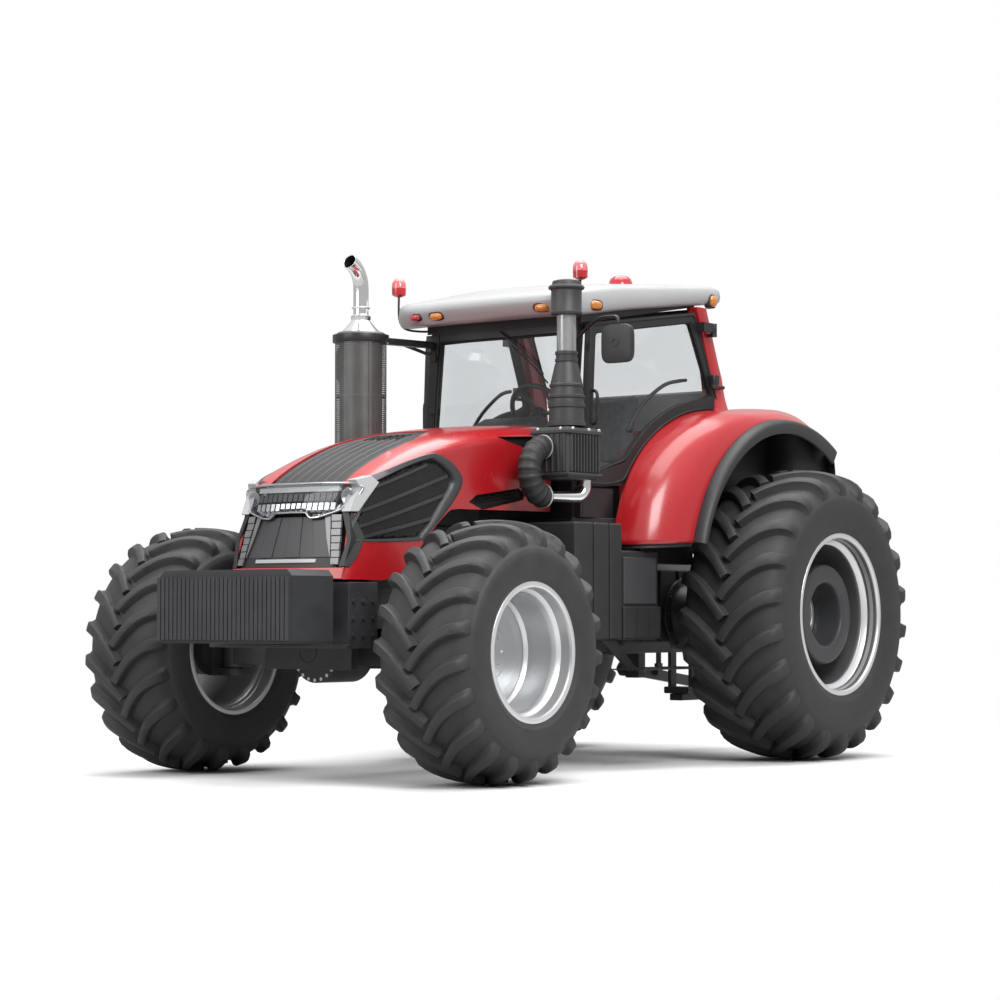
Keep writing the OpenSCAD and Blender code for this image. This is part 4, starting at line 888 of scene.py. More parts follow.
# a near-black sheet behind the nose grille is painted shadow
nose_strip([(-0.400, 1.150), (-0.345, 1.450)], [(0.400, 1.150), (0.345, 1.450)], -0.045, 0.01, "grille_back",
           painted_shadow, steps=16)
for hand, side in HANDS:
    nose_strip([(side * 0.228, 1.432), (side * 0.262, 1.310), (side * 0.300, 1.205)],
               [(side * 0.262, 1.440), (side * 0.284, 1.320), (side * 0.302, 1.207)], -0.006, 0.012,
               "grille_wing_" + hand, lamp_strip, steps=4)
    for j in range(7):
        z0, z1 = 1.165 + 0.039 * j, 1.165 + 0.039 * j + 0.036
        y0 = lambda z: 0.318 - 0.045 * (z - 1.165) / 0.275
        y1 = lambda z: 0.362 - 0.030 * (z - 1.165) / 0.275
        nose_strip([(side * y0(z0), z0), (side * y0(z1), z1)], [(side * y1(z0), z0), (side * y1(z1), z1)],
                   0.002 - 0.003 * (j % 2), 0.016, "grille_strip_%s_%d" % (hand, j), lamp_strip, steps=2,
                   bevel=0.002)
    nose_strip([(side * 0.366, 1.152), (side * 0.392, 1.300), (side * 0.335, 1.445)],
               [(side * 0.400, 1.152), (side * 0.416, 1.300), (side * 0.372, 1.455)], 0.004, 0.05,
               "grille_post_" + hand, black, steps=3)
    corner = [(3.440, 1.448), (3.395, 1.310), (3.440, 1.215), (3.500, 1.150), (3.560, 1.150), (3.520, 1.300),
              (3.470, 1.450)]
    verts = [hood_side(x, z, out) for out in (0.008, -0.012) for x, z in corner]
    piece("grille_post_side_" + hand, [(v.x, side * v.y, v.z) for v in verts], walls(len(corner)), black,
          "hood", smooth=30, bevel=0.004)


# Fenders: pressed steel arches, gloss painted, that curve out from the cab over the rear wheels, each with an
# inner wall; a black rubber flare is bolted along the outer edge.
def fender_at(i):
    def on(c, r, a):
        return Vector((c[0] + r * math.cos(math.radians(a)), c[1] + r * math.sin(math.radians(a))))
    if i <= 9:
        p, q = on((0.38, 1.13), 1.022, 10 + 80 * i / 9), on((0, 1.03), 1.08, 15.8 + 66.2 * i / 9)
    elif i < 10:
        p = Vector((0.38, 2.152)).lerp(Vector((0.0, 2.188)), i - 9)
        q = on((0, 1.03), 1.08, 82 + 10 * (i - 9))
    else:
        p = Vector((0.0, 2.188)).lerp(Vector((-0.300, 2.206)), (i - 10) / 4)
        q = on((0, 1.03), 1.08, 92 + 29 * (i - 10) / 4)
    return p, q


def grid(rows_):
    k = len(rows_[0])
    return [p for r in rows_ for p in r], quads(len(rows_), k)


shape_in = curve_through([(0, 0), (0.35, 0.05), (0.65, 0.20), (0.86, 0.48), (0.955, 0.78), (1, 1)], 5)
for hand, side in HANDS:
    skin, lip = [], []
    for step in range(0, 85):
        i = step / 6
        p, q = fender_at(i)
        inner = Vector((0.15, 0.95))
        skin.append([((p.lerp(q, s[1])).x + REAR, side * (0.660 + 0.330 * s[0]), p.lerp(q, s[1]).y)
                     for s in shape_in])
        way, drop = (inner - q).normalized(), 0.030 + 0.085 * (step / 84) ** 1.3
        lip.append([(q.x + way.x * d + REAR, side * y, q.y + way.y * d)
                    for y, d in ((0.984, 0.004), (0.988, -0.006), (1.012, -0.010), (1.046, -0.006),
                                 (1.072, 0.006), (1.083, 0.024), (1.084, drop), (1.070, drop + 0.002))])
    obj = piece("fender_" + hand, *grid(skin), red, "chassis", "fenders" if side > 0 else (), smooth=60)
    mod = obj.modifiers.new("thickness", "SOLIDIFY")
    mod.thickness, mod.offset = 0.016, 1.0 if side > 0 else -1.0
    obj = piece("fender_flare_" + hand, *grid(lip), black, "chassis", "fender_flares" if side > 0 else (),
                smooth=60)
    wall = [fender_at(step / 2)[0] * 0.995 + Vector((0.15, 0.95)) * 0.005 for step in range(29)]
    wall += [Vector((-0.42, 1.80)), Vector((-0.50, 1.60)), Vector((-0.40, 1.42)), Vector((1.36, 1.42))]
    verts = [(p.x + REAR, side * y, p.y) for y in (0.664, 0.688) for p in wall]
    piece("fender_wall_" + hand, verts, walls(len(wall)), black, "chassis", smooth=30)
    liner = [[Vector(p) - Vector((0, 0, 0.020)) for p in row] for row in skin]
    piece("fender_liner_" + hand, *grid(liner), black, "chassis", smooth=60)
    edge = [Vector(p) + Vector((0.006, 0, -0.022)) for p in skin[-1]]
    edge += [Vector((-0.535 + REAR, side * 1.068, 1.880))]
    piece("fender_end_" + hand,
          *grid([edge, [Vector((p.x - 0.015, p.y, min(p.z - 0.02, 1.78))) for p in edge]]), black, "chassis",
          smooth=60)


# Rear cab frame: gloss painted pillars that spread into the fenders at their feet, a painted wall between
# them, a top beam and the black door hinges.
pillar = lambda z: 0.300 + 0.40625 * (z - 2.160)  # front edge of the leaning pillar
for hand, side in HANDS:
    verts = []
    for i in range(25):
        t = i / 24
        z = 2.125 + 0.675 * t
        x = pillar(z)
        spread = 0.16 * (1 - t) ** 5
        a, b = max(x - 0.128, 0.232 + 0.10 * (z - 2.125)), x - 0.006 + 0.8 * spread
        y1, y0 = 0.722 + 0.06 * (1 - t) ** 6, 0.645
        for px_, py in ((a, y0), (a, y1 - 0.020), (a + 0.006, y1 - 0.006), (a + 0.022, y1), (b - 0.022, y1),
                        (b - 0.006, y1 - 0.006), (b, y1 - 0.020), (b, y0)):
            verts.append((px_ + REAR, side * py, z))
    faces = bands(24, 8) + [tuple(range(8)), tuple(range(192, 200))]
    piece("rear_pillar_" + hand, verts, faces, red, "chassis", "cab_rear_frame" if side > 0 else (),
          smooth=40)
    for z in (2.300, 2.620):
        x = pillar(z)
        path = [(0.43, 0.715), (0.43, 0.740), (0.43, 0.765)]
        if x < 0.43:
            path = [(x - 0.034, 0.715), (x - 0.034, 0.765), (0.43, 0.765)]
        sweep("door_hinge_%s_%d" % (hand, z * 1000), [(a + REAR, side * b, z + 0.012) for a, b in path],
              0.012, black, "chassis")
        ring = [(0.430 + a, 0.765 + b) for a, b in circle(24, 0.020)]
        verts = [(a + REAR, side * b, h) for h in (z, z + 0.024) for a, b in ring]
        piece("door_hinge_eye_%s_%d" % (hand, z * 1000), verts, walls(24), black, "chassis")


def plate(name, lo, hi, mat, body, node=(), bevel=0.006):
    (x0, y0, z0), (x1, y1, z1) = lo, hi
    verts = [(x + REAR, y, z) for x in (x0, x1) for y in (y0, y1) for z in (z0, z1)]
    return piece(name, verts,
                 [(0, 1, 3, 2), (4, 6, 7, 5), (0, 4, 5, 1), (2, 3, 7, 6), (0, 2, 6, 4), (1, 5, 7, 3)], mat,
                 body, node, bevel=bevel)


plate("rear_wall", (0.130, -0.655, 1.472), (0.178, 0.655, 2.100), red, "chassis")
plate("rear_top_beam", (0.408, -0.645, 2.746), (0.476, 0.645, 2.799), black, "chassis")


# Cab glass: thin tinted safety glass, bent and hardened, in the windscreen, both doors and the rear window.
# Each pane sits in a rubber seal; the CAD panes stay and take a see-through finish with a reflection at the
# edges.
glass = pane("window_glass", 1.2, (0.90, 0.91, 0.915, 1), (0.94, 0.945, 0.95, 1), 0.02)


def dress(mat, bevel, *names):
    for name in names:
        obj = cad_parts[name]
        obj.data.materials.clear()
        obj.data.materials.append(mat)
        if bevel:
            weld = obj.modifiers.new("weld", "WELD")
            weld.merge_threshold = 1e-5
            flat = obj.modifiers.new("flat", "DECIMATE")
            flat.decimate_type = "DISSOLVE"
            flat.angle_limit = math.radians(1)
            mod = obj.modifiers.new("bevel", "BEVEL")
            mod.width, mod.segments, mod.limit_method, mod.angle_limit = bevel, 2, "ANGLE", math.radians(40)


dress(glass, 0, "windscreen", "rear_window", "door_glass_left", "door_glass_right")


# Cab front frame and doors: folded and welded steel tubes and sheet, painted black, with rubber seals. Each
# door has a pull handle outside and a rail inside; a pale trim panel lies behind the seat and a wiper hangs
# on the screen.
cab_black = surface("cab_black", (0.017, 0.0175, 0.019), 0.36, spread=0.12, patch=5.0, grain=420, bump=0.06)
seal = surface("seal_rubber", (0.010, 0.010, 0.011), 0.62, spread=0.2, patch=9.0, grain=500, bump=0.15)
dress(cab_black, 0.006, "cab_front_frame", "door_left", "door_right")
dress(black, 0.006, "cab_floor", "dashboard")
arch = [(0.38 + 1.046 * math.cos(math.radians(a)), 1.13 + 1.046 * math.sin(math.radians(a)))
        for a in range(33, 90, 4)]
door_line = [(1.46, 1.668), (1.575, 1.668), (1.588, 1.70), (1.588, 1.990), (1.555, 2.606), (0.574, 2.750),
             (pillar(2.21) + 0.024, 2.210), *arch[::-1], (1.335, 1.68)]
glass_line = [(1.520, 1.735), (1.545, 1.990), (1.512, 2.565), (0.608, 2.700), (pillar(2.260) + 0.058, 2.260)]
glass_line += [(0.38 + 1.100 * math.cos(math.radians(a)), 1.13 + 1.100 * math.sin(math.radians(a)))
               for a in range(84, 37, -5)]
lean = math.radians(-5.6)


def door_point(x, y, z, side):
    dx = x - 0.430
    return Vector((0.430 + dx * math.cos(lean) - y * math.sin(lean) + REAR,
                   side * (0.728 + dx * math.sin(lean) + y * math.cos(lean)), z))


for hand, side in HANDS:
    body = hand + "_door"
    for name, line, out, r in (("seal", door_line, -0.002, 0.009), ("glass_seal", glass_line, -0.010, 0.008),
                               ("inner_seal", glass_line, -0.030, 0.008)):
        path = rounded(line + line[:2], 0.03, 4)[1:-1]
        sweep("door_%s_%s" % (name, hand), [door_point(p[0], out, p[1], side) for p in path], r, seal, body,
              closed=True, sides=8)
    grip = curve_through([(1.500, 0.0, 2.02), (1.500, 0.030, 2.04), (1.500, 0.034, 2.12),
                          (1.500, 0.030, 2.20), (1.500, 0.0, 2.22)], 5)
    sweep("door_grip_" + hand, [door_point(p[0] + 0.035, p[1] - 0.002, p[2], side) for p in grip], 0.010,
          black, body, sides=10)
    rail = curve_through([(0.640, -0.050, 2.34), (0.80, -0.062, 2.30), (1.02, -0.062, 2.16),
                          (1.16, -0.050, 2.00)], 6)
    sweep("door_inner_rail_" + hand, [door_point(*p, side) for p in rail], 0.012, cab_black, body, sides=10)
    for x, z in ((0.640, 2.34), (1.16, 2.00)):
        sweep("door_rail_foot_%s_%d" % (hand, z * 100),
              [door_point(x, -0.012, z, side), door_point(x, -0.052, z, side)], 0.010, cab_black, body,
              sides=10)
line = [(-0.488, 1.998), (0.488, 1.998), (0.488, 2.562), (-0.488, 2.562)]
path = rounded(line + line[:2], 0.03, 4)[1:-1]
sweep("windscreen_seal", [(1.634 - 0.060 * (p[1] - 1.99) / 0.58 + REAR, p[0], p[1]) for p in path], 0.008,
      seal, "chassis", closed=True, sides=8)
line = [(-0.632, 2.108), (0.632, 2.108), (0.632, 2.738), (-0.632, 2.738)]
path = rounded(line + line[:2], 0.05, 4)[1:-1]
sweep("rear_window_seal", [(0.152 + 0.291 * (p[1] - 2.100) / 0.645 + REAR, p[0], p[1]) for p in path], 0.009,
      seal, "chassis", closed=True, sides=8)
trim = surface("cabin_trim", (0.48, 0.483, 0.49), 0.60, spread=0.08, patch=8.0, grain=420, bump=0.15)
shelf = [[(0.215 + lift + 0.45 * (z - 2.080) + REAR, y, z) for y in (-0.600, -0.30, 0.0, 0.30, 0.600)]
         for z, lift in ((2.080, 0.0), (2.290, 0.0), (2.302, -0.012), (2.300, -0.045))]
piece("cab_rear_trim", *grid(shelf), trim, "chassis", smooth=40)
screen = lambda z: 0.062 * (z - 1.99) / 0.63  # how far the windscreen leans back at a height
wiper = curve_through([(1.592, -0.02, 2.605), (1.602, 0.16, 2.475), (1.622, 0.33, 2.325)], 6)
sweep("wiper_arm", [(p[0] + 0.010 + REAR, p[1], p[2]) for p in wiper], 0.006, cab_black, "chassis", sides=8)
sweep("wiper_blade", [(1.655 - screen(z) + REAR, y, z)
                      for y, z in ((0.08, 2.505), (0.22, 2.400), (0.36, 2.270))], 0.005, seal, "chassis",
                      sides=6)
for z in (2.14, 2.50):
    for hand, side in HANDS:
        plate("windscreen_clip_%s_%d" % (hand, z * 100), (1.652 - screen(z), side * 0.505 - 0.02, z - 0.018),
              (1.662 - screen(z), side * 0.505 + 0.02, z + 0.018), black, "chassis", bevel=0.004)


# Roof: a moulded white plastic shell with rounded edges, wider at the back and bolted to the cab frame. A
# black plinth closes the gap above the doors and a dark lining covers it from inside.
white = surface("roof_white", (0.43, 0.433, 0.435), 0.36, coat=0.2, spread=0.03, patch=1.5, grain=300,
                bump=0.02)
edge_top = curve_through([(0.262, 2.905), (0.280, 2.932), (0.330, 2.948), (0.402, 2.947), (0.738, 2.919),
                          (1.322, 2.862), (1.711, 2.804), (1.800, 2.788), (1.835, 2.776), (1.852, 2.762),
                          (1.862, 2.744)], 5)
side_low = curve_through([(0.262, 2.880), (0.280, 2.848), (0.330, 2.836), (0.542, 2.812), (0.844, 2.773),
                          (1.252, 2.719), (1.60, 2.664), (1.720, 2.648), (1.800, 2.650), (1.840, 2.684),
                          (1.862, 2.722)], 5)
plan = curve_through([(0.262, 0.690), (0.280, 0.716), (0.330, 0.733), (0.70, 0.716), (1.20, 0.692),
                      (1.56, 0.674), (1.70, 0.662), (1.780, 0.646), (1.825, 0.618), (1.850, 0.580),
                      (1.862, 0.545)], 5)


def height(curve, x):
    for a, b in zip(curve, curve[1:]):
        if a[0] <= x <= b[0]:
            return a[1] + (b[1] - a[1]) * (x - a[0]) / max(1e-6, b[0] - a[0])
    return curve[-1][1] if x > curve[-1][0] else curve[0][1]


verts = []
stations = [0.262, 0.266, 0.272, 0.282, 0.30, 0.33] + [0.37 + 0.066 * i for i in range(21)]
stations += [1.73, 1.76, 1.785, 1.805, 1.82, 1.833, 1.843, 1.851, 1.857, 1.862]
for x in stations:
    zt, zb, w = height(edge_top, x), height(side_low, x), height(plan, x)
    tall = zt - zb
    crown = 0.040 * min(1.0, (1.862 - x) / 0.30, (x - 0.262) / 0.20 + 0.2)
    ring = [(0.0, zt + crown), (0.30, zt + 0.93 * crown), (0.60, zt + 0.62 * crown),
            (0.84, zt + 0.18 * crown), (0.915, zt - 0.01 * tall), (0.955, zt - 0.05 * tall),
            (0.978, zt - 0.13 * tall), (0.990, zt - 0.24 * tall), (1.0, zt - 0.52 * tall),
            (0.996, zb + 0.26 * tall), (0.984, zb + 0.10 * tall), (0.966, zb + 0.02 * tall), (0.945, zb),
            (0.80, zb + 0.002), (0.50, zb + 0.003), (0.20, zb + 0.003), (0.0, zb + 0.003)]
    loop = [(w * a, z) for a, z in ring] + [(-w * a, z) for a, z in ring[-2:0:-1]]
    verts += [(x + REAR, y, z) for y, z in loop]
    k = len(loop)
faces = bands(len(stations) - 1, k) + [tuple(range(k)), tuple((len(stations) - 1) * k + j for j in range(k))]
piece("roof_shell", verts, faces, white, "chassis", "roof", smooth=50)
plinth = []
for t in range(33):
    if t <= 12:
        x, y = 0.470 + 1.125 * t / 12, 0.648 - 0.070 * t / 12
    elif t <= 20:
        x, y = 1.595, 0.578 - 1.156 * (t - 12) / 8
    else:
        x, y = 1.595 - 1.125 * (t - 20) / 12, -0.578 - 0.070 * (t - 20) / 12
    low = 2.801 - 0.1716 * (x - 0.56) - 0.006
    plinth.append([(x + REAR, y, low), (x + REAR, y, height(side_low, x) + 0.012)])
piece("roof_plinth", *grid(plinth), cab_black, "chassis", smooth=30)
lining = []
for x in [0.56 + 0.98 * i / 12 for i in range(13)]:
    w = height(plan, x) - 0.11
    lining.append([(x + REAR, w * t, height(side_low, x) - 0.004) for t in (-1, -0.5, 0, 0.5, 1)])
piece("roof_lining", *grid(lining), cab_black, "chassis", smooth=60)


# Lamps: moulded amber and red lenses in black cups along the front edge and the corners of the roof, two red
# markers on curved stalks and a red dome beacon on the roof.
def lens_paint(name, colour, deep):
    mat = surface(name, colour, 0.12, coat=1.0, spread=0.12, patch=30, grain=160, bump=0.3, wave=0.05)
    mat.node_tree.nodes["Principled BSDF"].inputs["Subsurface Weight"].default_value = deep
    mat.node_tree.nodes["Principled BSDF"].inputs["Subsurface Radius"].default_value = (0.02, 0.01, 0.004)
    return mat


amber = lens_paint("amber_lens", (0.62, 0.20, 0.012), 0.15)
lamp_red = lens_paint("red_lens", (0.48, 0.008, 0.018), 0.15)
lamp_pink = lens_paint("red_lens_thin", (0.72, 0.16, 0.18), 0.3)


def squarish(n, power):
    return [[math.copysign(abs(t) ** power, t) for t in p] for p in circle(n, 1.0)]


def lamp(name, spot, way, wide, tall, mat, node=()):
    c, n = Vector((spot[0] + REAR, spot[1], spot[2])), Vector(way).normalized()
    u = Vector((-n.y, n.x, 0)).normalized()
    w = n.cross(u)
    for part, rings, m in (("", ((1.0, -0.010), (1.0, 0.006), (0.88, 0.018), (0.55, 0.026), (0.2, 0.029)),
                            mat), ("_cup", ((1.30, -0.030), (1.22, 0.004), (1.10, 0.008), (1.02, 0.004),
                                            (0.98, -0.012)), black)):
        verts, k = [], 24
        for s, out in rings:
            for ca, sa in squarish(k, 0.7):
                verts.append(c + u * wide * s * ca + w * tall * s * sa + n * out)
        faces = bands(len(rings) - 1, k)
        if not part:
            faces.append(tuple((len(rings) - 1) * k + i for i in range(k)))
        piece(name + part, verts, faces, m, "chassis", node if not part else (), smooth=50)


def turn(name, line, spot, mat, node=(), segments=48, smooth=45.0):
    verts = [(spot[0] + REAR + r * math.cos(a), spot[1] + r * math.sin(a), z) for a in around(segments)
             for r, z in line]
    return piece(name, verts, spun_faces(segments, len(line)), mat, "chassis", node, smooth)


lamp("roof_lamp_red", (1.842, -0.472, 2.697), (0.82, -0.15, -0.50), 0.040, 0.022, lamp_red, node="roof_lamps")
lamp("roof_lamp_inner", (1.842, -0.312, 2.694), (0.85, 0.0, -0.50), 0.046, 0.024, amber)
lamp("roof_lamp_left", (1.838, 0.475, 2.692), (0.82, 0.15, -0.50), 0.050, 0.025, amber)
lamp("roof_lamp_side_left", (1.580, 0.668, 2.716), (0.25, 0.9, -0.12), 0.048, 0.027, amber)
lamp("roof_lamp_side_right", (1.580, -0.668, 2.716), (0.25, -0.9, -0.12), 0.048, 0.027, amber)
for hand, side in HANDS:
    lamp("roof_lamp_rear_" + hand, (0.382, side * 0.724, 2.850), (-0.1, side, -0.05), 0.040, 0.036, amber)
    stalk = curve_through([(1.585, side * 0.500, 2.640), (1.660, side * 0.575, 2.634),
                           (1.720, side * 0.655, 2.652), (1.746, side * 0.680, 2.715),
                           (1.748, side * 0.681, 2.850)], 6)
    sweep("marker_stalk_" + hand, [(p[0] + REAR, p[1], p[2]) for p in stalk], 0.007, black, "chassis",
          sides=10)
    base_line = [(0.012, 2.858), (0.030, 2.864), (0.043, 2.872), (0.044, 2.912)]
    dome = [(0.044, 2.912), (0.044, 2.930), (0.040, 2.950), (0.030, 2.966), (0.016, 2.974), (0.0005, 2.976)]
    for name, line, mat in (("foot", base_line, lamp_red), ("dome", dome, lamp_pink)):
        turn("marker_%s_%s" % (name, hand), [(r, z - 0.014) for r, z in line], (1.748, side * 0.681), mat,
             "marker_lamps" if name == "dome" and side > 0 else (), 28, 50)
line = [(0.078, 2.975), (0.078, 3.006), (0.074, 3.012), (0.072, 3.022), (0.064, 3.040), (0.046, 3.053),
        (0.022, 3.059), (0.0005, 3.060)]
turn("beacon_dome", line, (0.420, 0.06), lamp_red, "beacon", 36, 50)


# Mirrors: rounded black plastic heads with bright glass at the back. Each hangs on an arm of bent steel tube
# that is bolted to a small base on the front pillar.
for hand, side in HANDS:
    verts, k = [], 32
    rings = ((1.798, 0.30), (1.802, 0.80), (1.814, 0.97), (1.840, 1.0), (1.850, 0.97), (1.8545, 0.80),
             (1.857, 0.30))
    for x, s in rings:
        for ca, sa in squarish(k, 0.42):
            verts.append((x + REAR, side * (1.002 + 0.106 * s * ca), 2.446 + 0.112 * s * sa))
    faces = bands(len(rings) - 1, k) + [tuple(range(k)), tuple((len(rings) - 1) * k + i for i in range(k))]
    piece("mirror_head_" + hand, verts, faces, black, "chassis", "mirrors" if side > 0 else (), smooth=45)
    face = [(1.7975 + REAR, side * (1.002 + 0.092 * ca), 2.446 + 0.098 * sa) for ca, sa in squarish(40, 0.42)]
    piece("mirror_glass_" + hand, face, [tuple(range(40))], chrome, "chassis")
    arm = curve_through([(1.612, side * 0.525, 2.480), (1.660, side * 0.600, 2.520),
                         (1.760, side * 0.800, 2.600), (1.812, side * 0.950, 2.606),
                         (1.830, side * 1.0, 2.590), (1.830, side * 1.002, 2.540)], 6)
    sweep("mirror_arm_" + hand, [(p[0] + REAR, p[1], p[2]) for p in arm], 0.011, cab_black, "chassis",
          sides=10)
    plate("mirror_base_" + hand, (1.605, side * 0.523 - 0.024, 2.450), (1.622, side * 0.523 + 0.024, 2.510),
          cab_black, "chassis", bevel=0.005)
    ring = [(1.8585 + REAR, side * (1.002 + a), 2.452 + b) for a, b in circle(24, 0.022)]
    sweep("mirror_boss_" + hand, ring, 0.003, cab_black, "chassis", closed=True, sides=6)


# Exhaust: an upright muffler inside a perforated black steel heat shield, a bright neck and a chrome pipe
# that bends forward; a bracket ties it to the front pillar.
steel_dark = surface("shield_steel", (0.15, 0.148, 0.146), 0.38, metal=0.6, spread=0.15, patch=8.0, grain=420,
                     bump=0.1)
ex = (2.135, -0.660)
turn("muffler_core", [(0.0005, 1.480), (0.128, 1.480), (0.128, 2.500), (0.118, 2.520), (0.0005, 2.585)], ex,
     steel_dark, node="exhaust_muffler")
verts, faces, columns, levels = [], [], 72, 84
ring_at = lambda a, z: (ex[0] + REAR + 0.155 * math.cos(2 * math.pi * a / columns),
                        ex[1] + 0.155 * math.sin(2 * math.pi * a / columns), z)
pitch = 1.05 / levels
for j in range(levels):
    for i in range(columns):
        z, base = 1.50 + pitch * j, len(verts)
        verts += [ring_at(i, z), ring_at(i + 1, z), ring_at(i + 1, z + pitch), ring_at(i, z + pitch)]
        if i % 12 == 0 or j % 28 == 0:
            faces.append((base, base + 1, base + 2, base + 3))
            continue
        verts += [ring_at(i + a, z + b * pitch)
                  for a, b in ((0.24, 0.24), (0.76, 0.24), (0.76, 0.76), (0.24, 0.76))]
        faces += [(base + a, base + (a + 1) % 4, base + 4 + (a + 1) % 4, base + 4 + a) for a in range(4)]
piece("heat_shield", verts, faces, steel_dark, "chassis", smooth=60)
for z in (1.492, 2.548):
    turn("shield_band_%d" % (z * 1000),
         [(0.1545, z - 0.014), (0.158, z - 0.012), (0.158, z + 0.012), (0.1545, z + 0.014)], ex, steel_dark,
         segments=60)
turn("shield_top", [(0.156, 2.556), (0.153, 2.578), (0.140, 2.590), (0.120, 2.592)], ex, steel_dark,
     segments=60)
neck = [(0.122, 2.5905), (0.112, 2.600), (0.090, 2.622), (0.066, 2.650), (0.056, 2.664), (0.060, 2.672),
        (0.060, 2.690), (0.050, 2.694), (0.047, 2.70)]
turn("exhaust_neck", neck, ex, chrome, segments=60)
bend = [(2.135, 2.68), (2.135, 2.80), (2.135, 2.86)]
bend += [(2.295 - 0.160 * math.cos(math.radians(a)), 2.860 + 0.160 * math.sin(math.radians(a)))
         for a in range(10, 71, 10)]
pipe = [(x + REAR, ex[1], z) for x, z in bend]
sweep("exhaust_tail", pipe, 0.046, chrome, "chassis", "exhaust_pipe", sides=32, cap=False)
# the inside of the pipe's end is a near-black tube of painted shadow
sweep("exhaust_bore", pipe[3:], 0.0435, painted_shadow, "chassis", sides=32, cap=False)
tip, way = Vector(pipe[-1]), (Vector(pipe[-1]) - Vector(pipe[-2])).normalized()
u = Vector((0, 1, 0))
w = way.cross(u)
sweep("exhaust_rim", [tip + (u * a + w * b) * 0.0447 for a, b in circle(32, 1.0)], 0.003, chrome, "chassis",
      closed=True, sides=8)
sweep("exhaust_clamp", [(ex[0] + REAR + a, ex[1] + b, 2.74) for a, b in circle(32, 0.050)], 0.006, bright,
      "chassis", closed=True, sides=8)
elbow = [(2.135, -0.66, 1.49), (2.135, -0.66, 1.42)]
elbow += [(2.135, -0.585 - 0.075 * math.cos(math.radians(a)), 1.42 - 0.075 * math.sin(math.radians(a)))
          for a in range(15, 91, 15)]
elbow += [(2.135, -0.40, 1.345), (2.135, -0.242, 1.345)]
sweep("exhaust_elbow", [(p[0] + REAR, p[1], p[2]) for p in elbow], 0.055, steel_dark, "chassis", sides=24)
dress(cab_black, 0.004, "exhaust_bracket")


# Intake: a ribbed black plastic filter box on the cab front, a tall stack with a pale tube and a rain cap, a
# ribbed rubber hose and a chrome return pipe, held by worm-drive clamps.
stack_grey = surface("stack_grey", (0.040, 0.041, 0.043), 0.48, spread=0.1, patch=6.0, grain=420, bump=0.08)
rubber_hose = surface("hose_rubber", (0.022, 0.022, 0.023), 0.55, spread=0.2, patch=8.0, grain=500, bump=0.15)
tube_grey = surface("tube_grey", (0.36, 0.365, 0.37), 0.22, metal=0.5, coat=0.3, spread=0.05, grain=300,
                    bump=0.02)
inlet = (1.900, 0.690)
turn("stack_base", [(0.112, 1.981), (0.112, 2.004), (0.104, 2.008), (0.101, 2.085), (0.108, 2.090),
                    (0.108, 2.112), (0.102, 2.116), (0.100, 2.140), (0.107, 2.145), (0.107, 2.158),
                    (0.099, 2.164), (0.094, 2.205), (0.100, 2.210), (0.100, 2.222), (0.093, 2.228),
                    (0.070, 2.330), (0.062, 2.352), (0.067, 2.356), (0.067, 2.370), (0.061, 2.374),
                    (0.061, 2.392), (0.066, 2.396), (0.066, 2.412), (0.058, 2.416)], inlet, stack_grey,
                    node="intake_stack", smooth=30)
turn("stack_tube", [(0.0565, 2.410), (0.0565, 2.628)], inlet, tube_grey)
turn("stack_cap", [(0.058, 2.622), (0.090, 2.628), (0.092, 2.640), (0.088, 2.646), (0.089, 2.768),
                   (0.103, 2.776), (0.106, 2.784), (0.100, 2.794), (0.084, 2.800), (0.082, 2.816),
                   (0.078, 2.822), (0.045, 2.830), (0.0005, 2.831)], inlet, stack_grey, smooth=35)
plate("filter_box", (1.735, 0.545, 1.672), (2.045, 0.806, 1.972), stack_grey, "chassis", "air_cleaner",
      bevel=0.022)
plate("filter_flange", (1.722, 0.536, 1.930), (2.054, 0.822, 1.956), stack_grey, "chassis", bevel=0.008)
plate("filter_foot", (1.722, 0.536, 1.690), (2.054, 0.822, 1.708), stack_grey, "chassis", bevel=0.006)
plate("filter_bracket", (1.651, 0.500, 1.700), (1.740, 0.548, 1.900), cab_black, "chassis", bevel=0.006)
for i in range(10):
    x = 1.752 + 0.0295 * i
    plate("filter_rib_%d" % i, (x, 0.800, 1.712), (x + 0.013, 0.8215, 1.928), stack_grey, "chassis",
          bevel=0.004)
for i in range(6):
    y = 0.560 + 0.042 * i
    plate("filter_front_rib_%d" % i, (2.040, y, 1.712), (2.0545, y + 0.016, 1.928), stack_grey, "chassis",
          bevel=0.004)
for x, y in ((1.76, 0.822), (2.02, 0.822), (1.86, 0.822), (2.052, 0.60), (2.052, 0.76)):
    turn("filter_bolt_%d_%d" % (x * 1000, y * 1000),
         [(0.010, 1.955), (0.010, 1.964), (0.006, 1.968), (0.0005, 1.968)], (x - 0.012, y - 0.012), bright,
         segments=6, smooth=20)
hose_path = [(2.050, 1.855)]
hose_path += [(2.0553 + 0.140 * math.sin(math.radians(a)), 1.715 + 0.140 * math.cos(math.radians(a)))
              for a in range(0, 181, 2)]
hose_path += [(2.045, 1.575)]
ribbed = lambda t: 0.064 + 0.0058 * max(0.0, math.sin(2 * math.pi * 11 * t)) ** 0.5
sweep("intake_duct", [(x + REAR, 0.640, z) for x, z in hose_path], ribbed, rubber_hose, "chassis",
      "intake_hose", sides=32)
for z in (1.855, 1.575):
    ring = [(2.062 + REAR, 0.640 + a, z + b) for a, b in circle(32, 0.067)]
    sweep("hose_clamp_%d" % (z * 1000), ring, 0.005, bright, "chassis", closed=True, sides=8)
turn_pipe = [(0.0, 1.575), (0.195, 1.575)]
turn_pipe += [(0.210 + 0.065 * math.sin(math.radians(a)), 1.640 - 0.065 * math.cos(math.radians(a)))
              for a in range(15, 91, 15)]
turn_pipe += [(0.275, 1.690)]
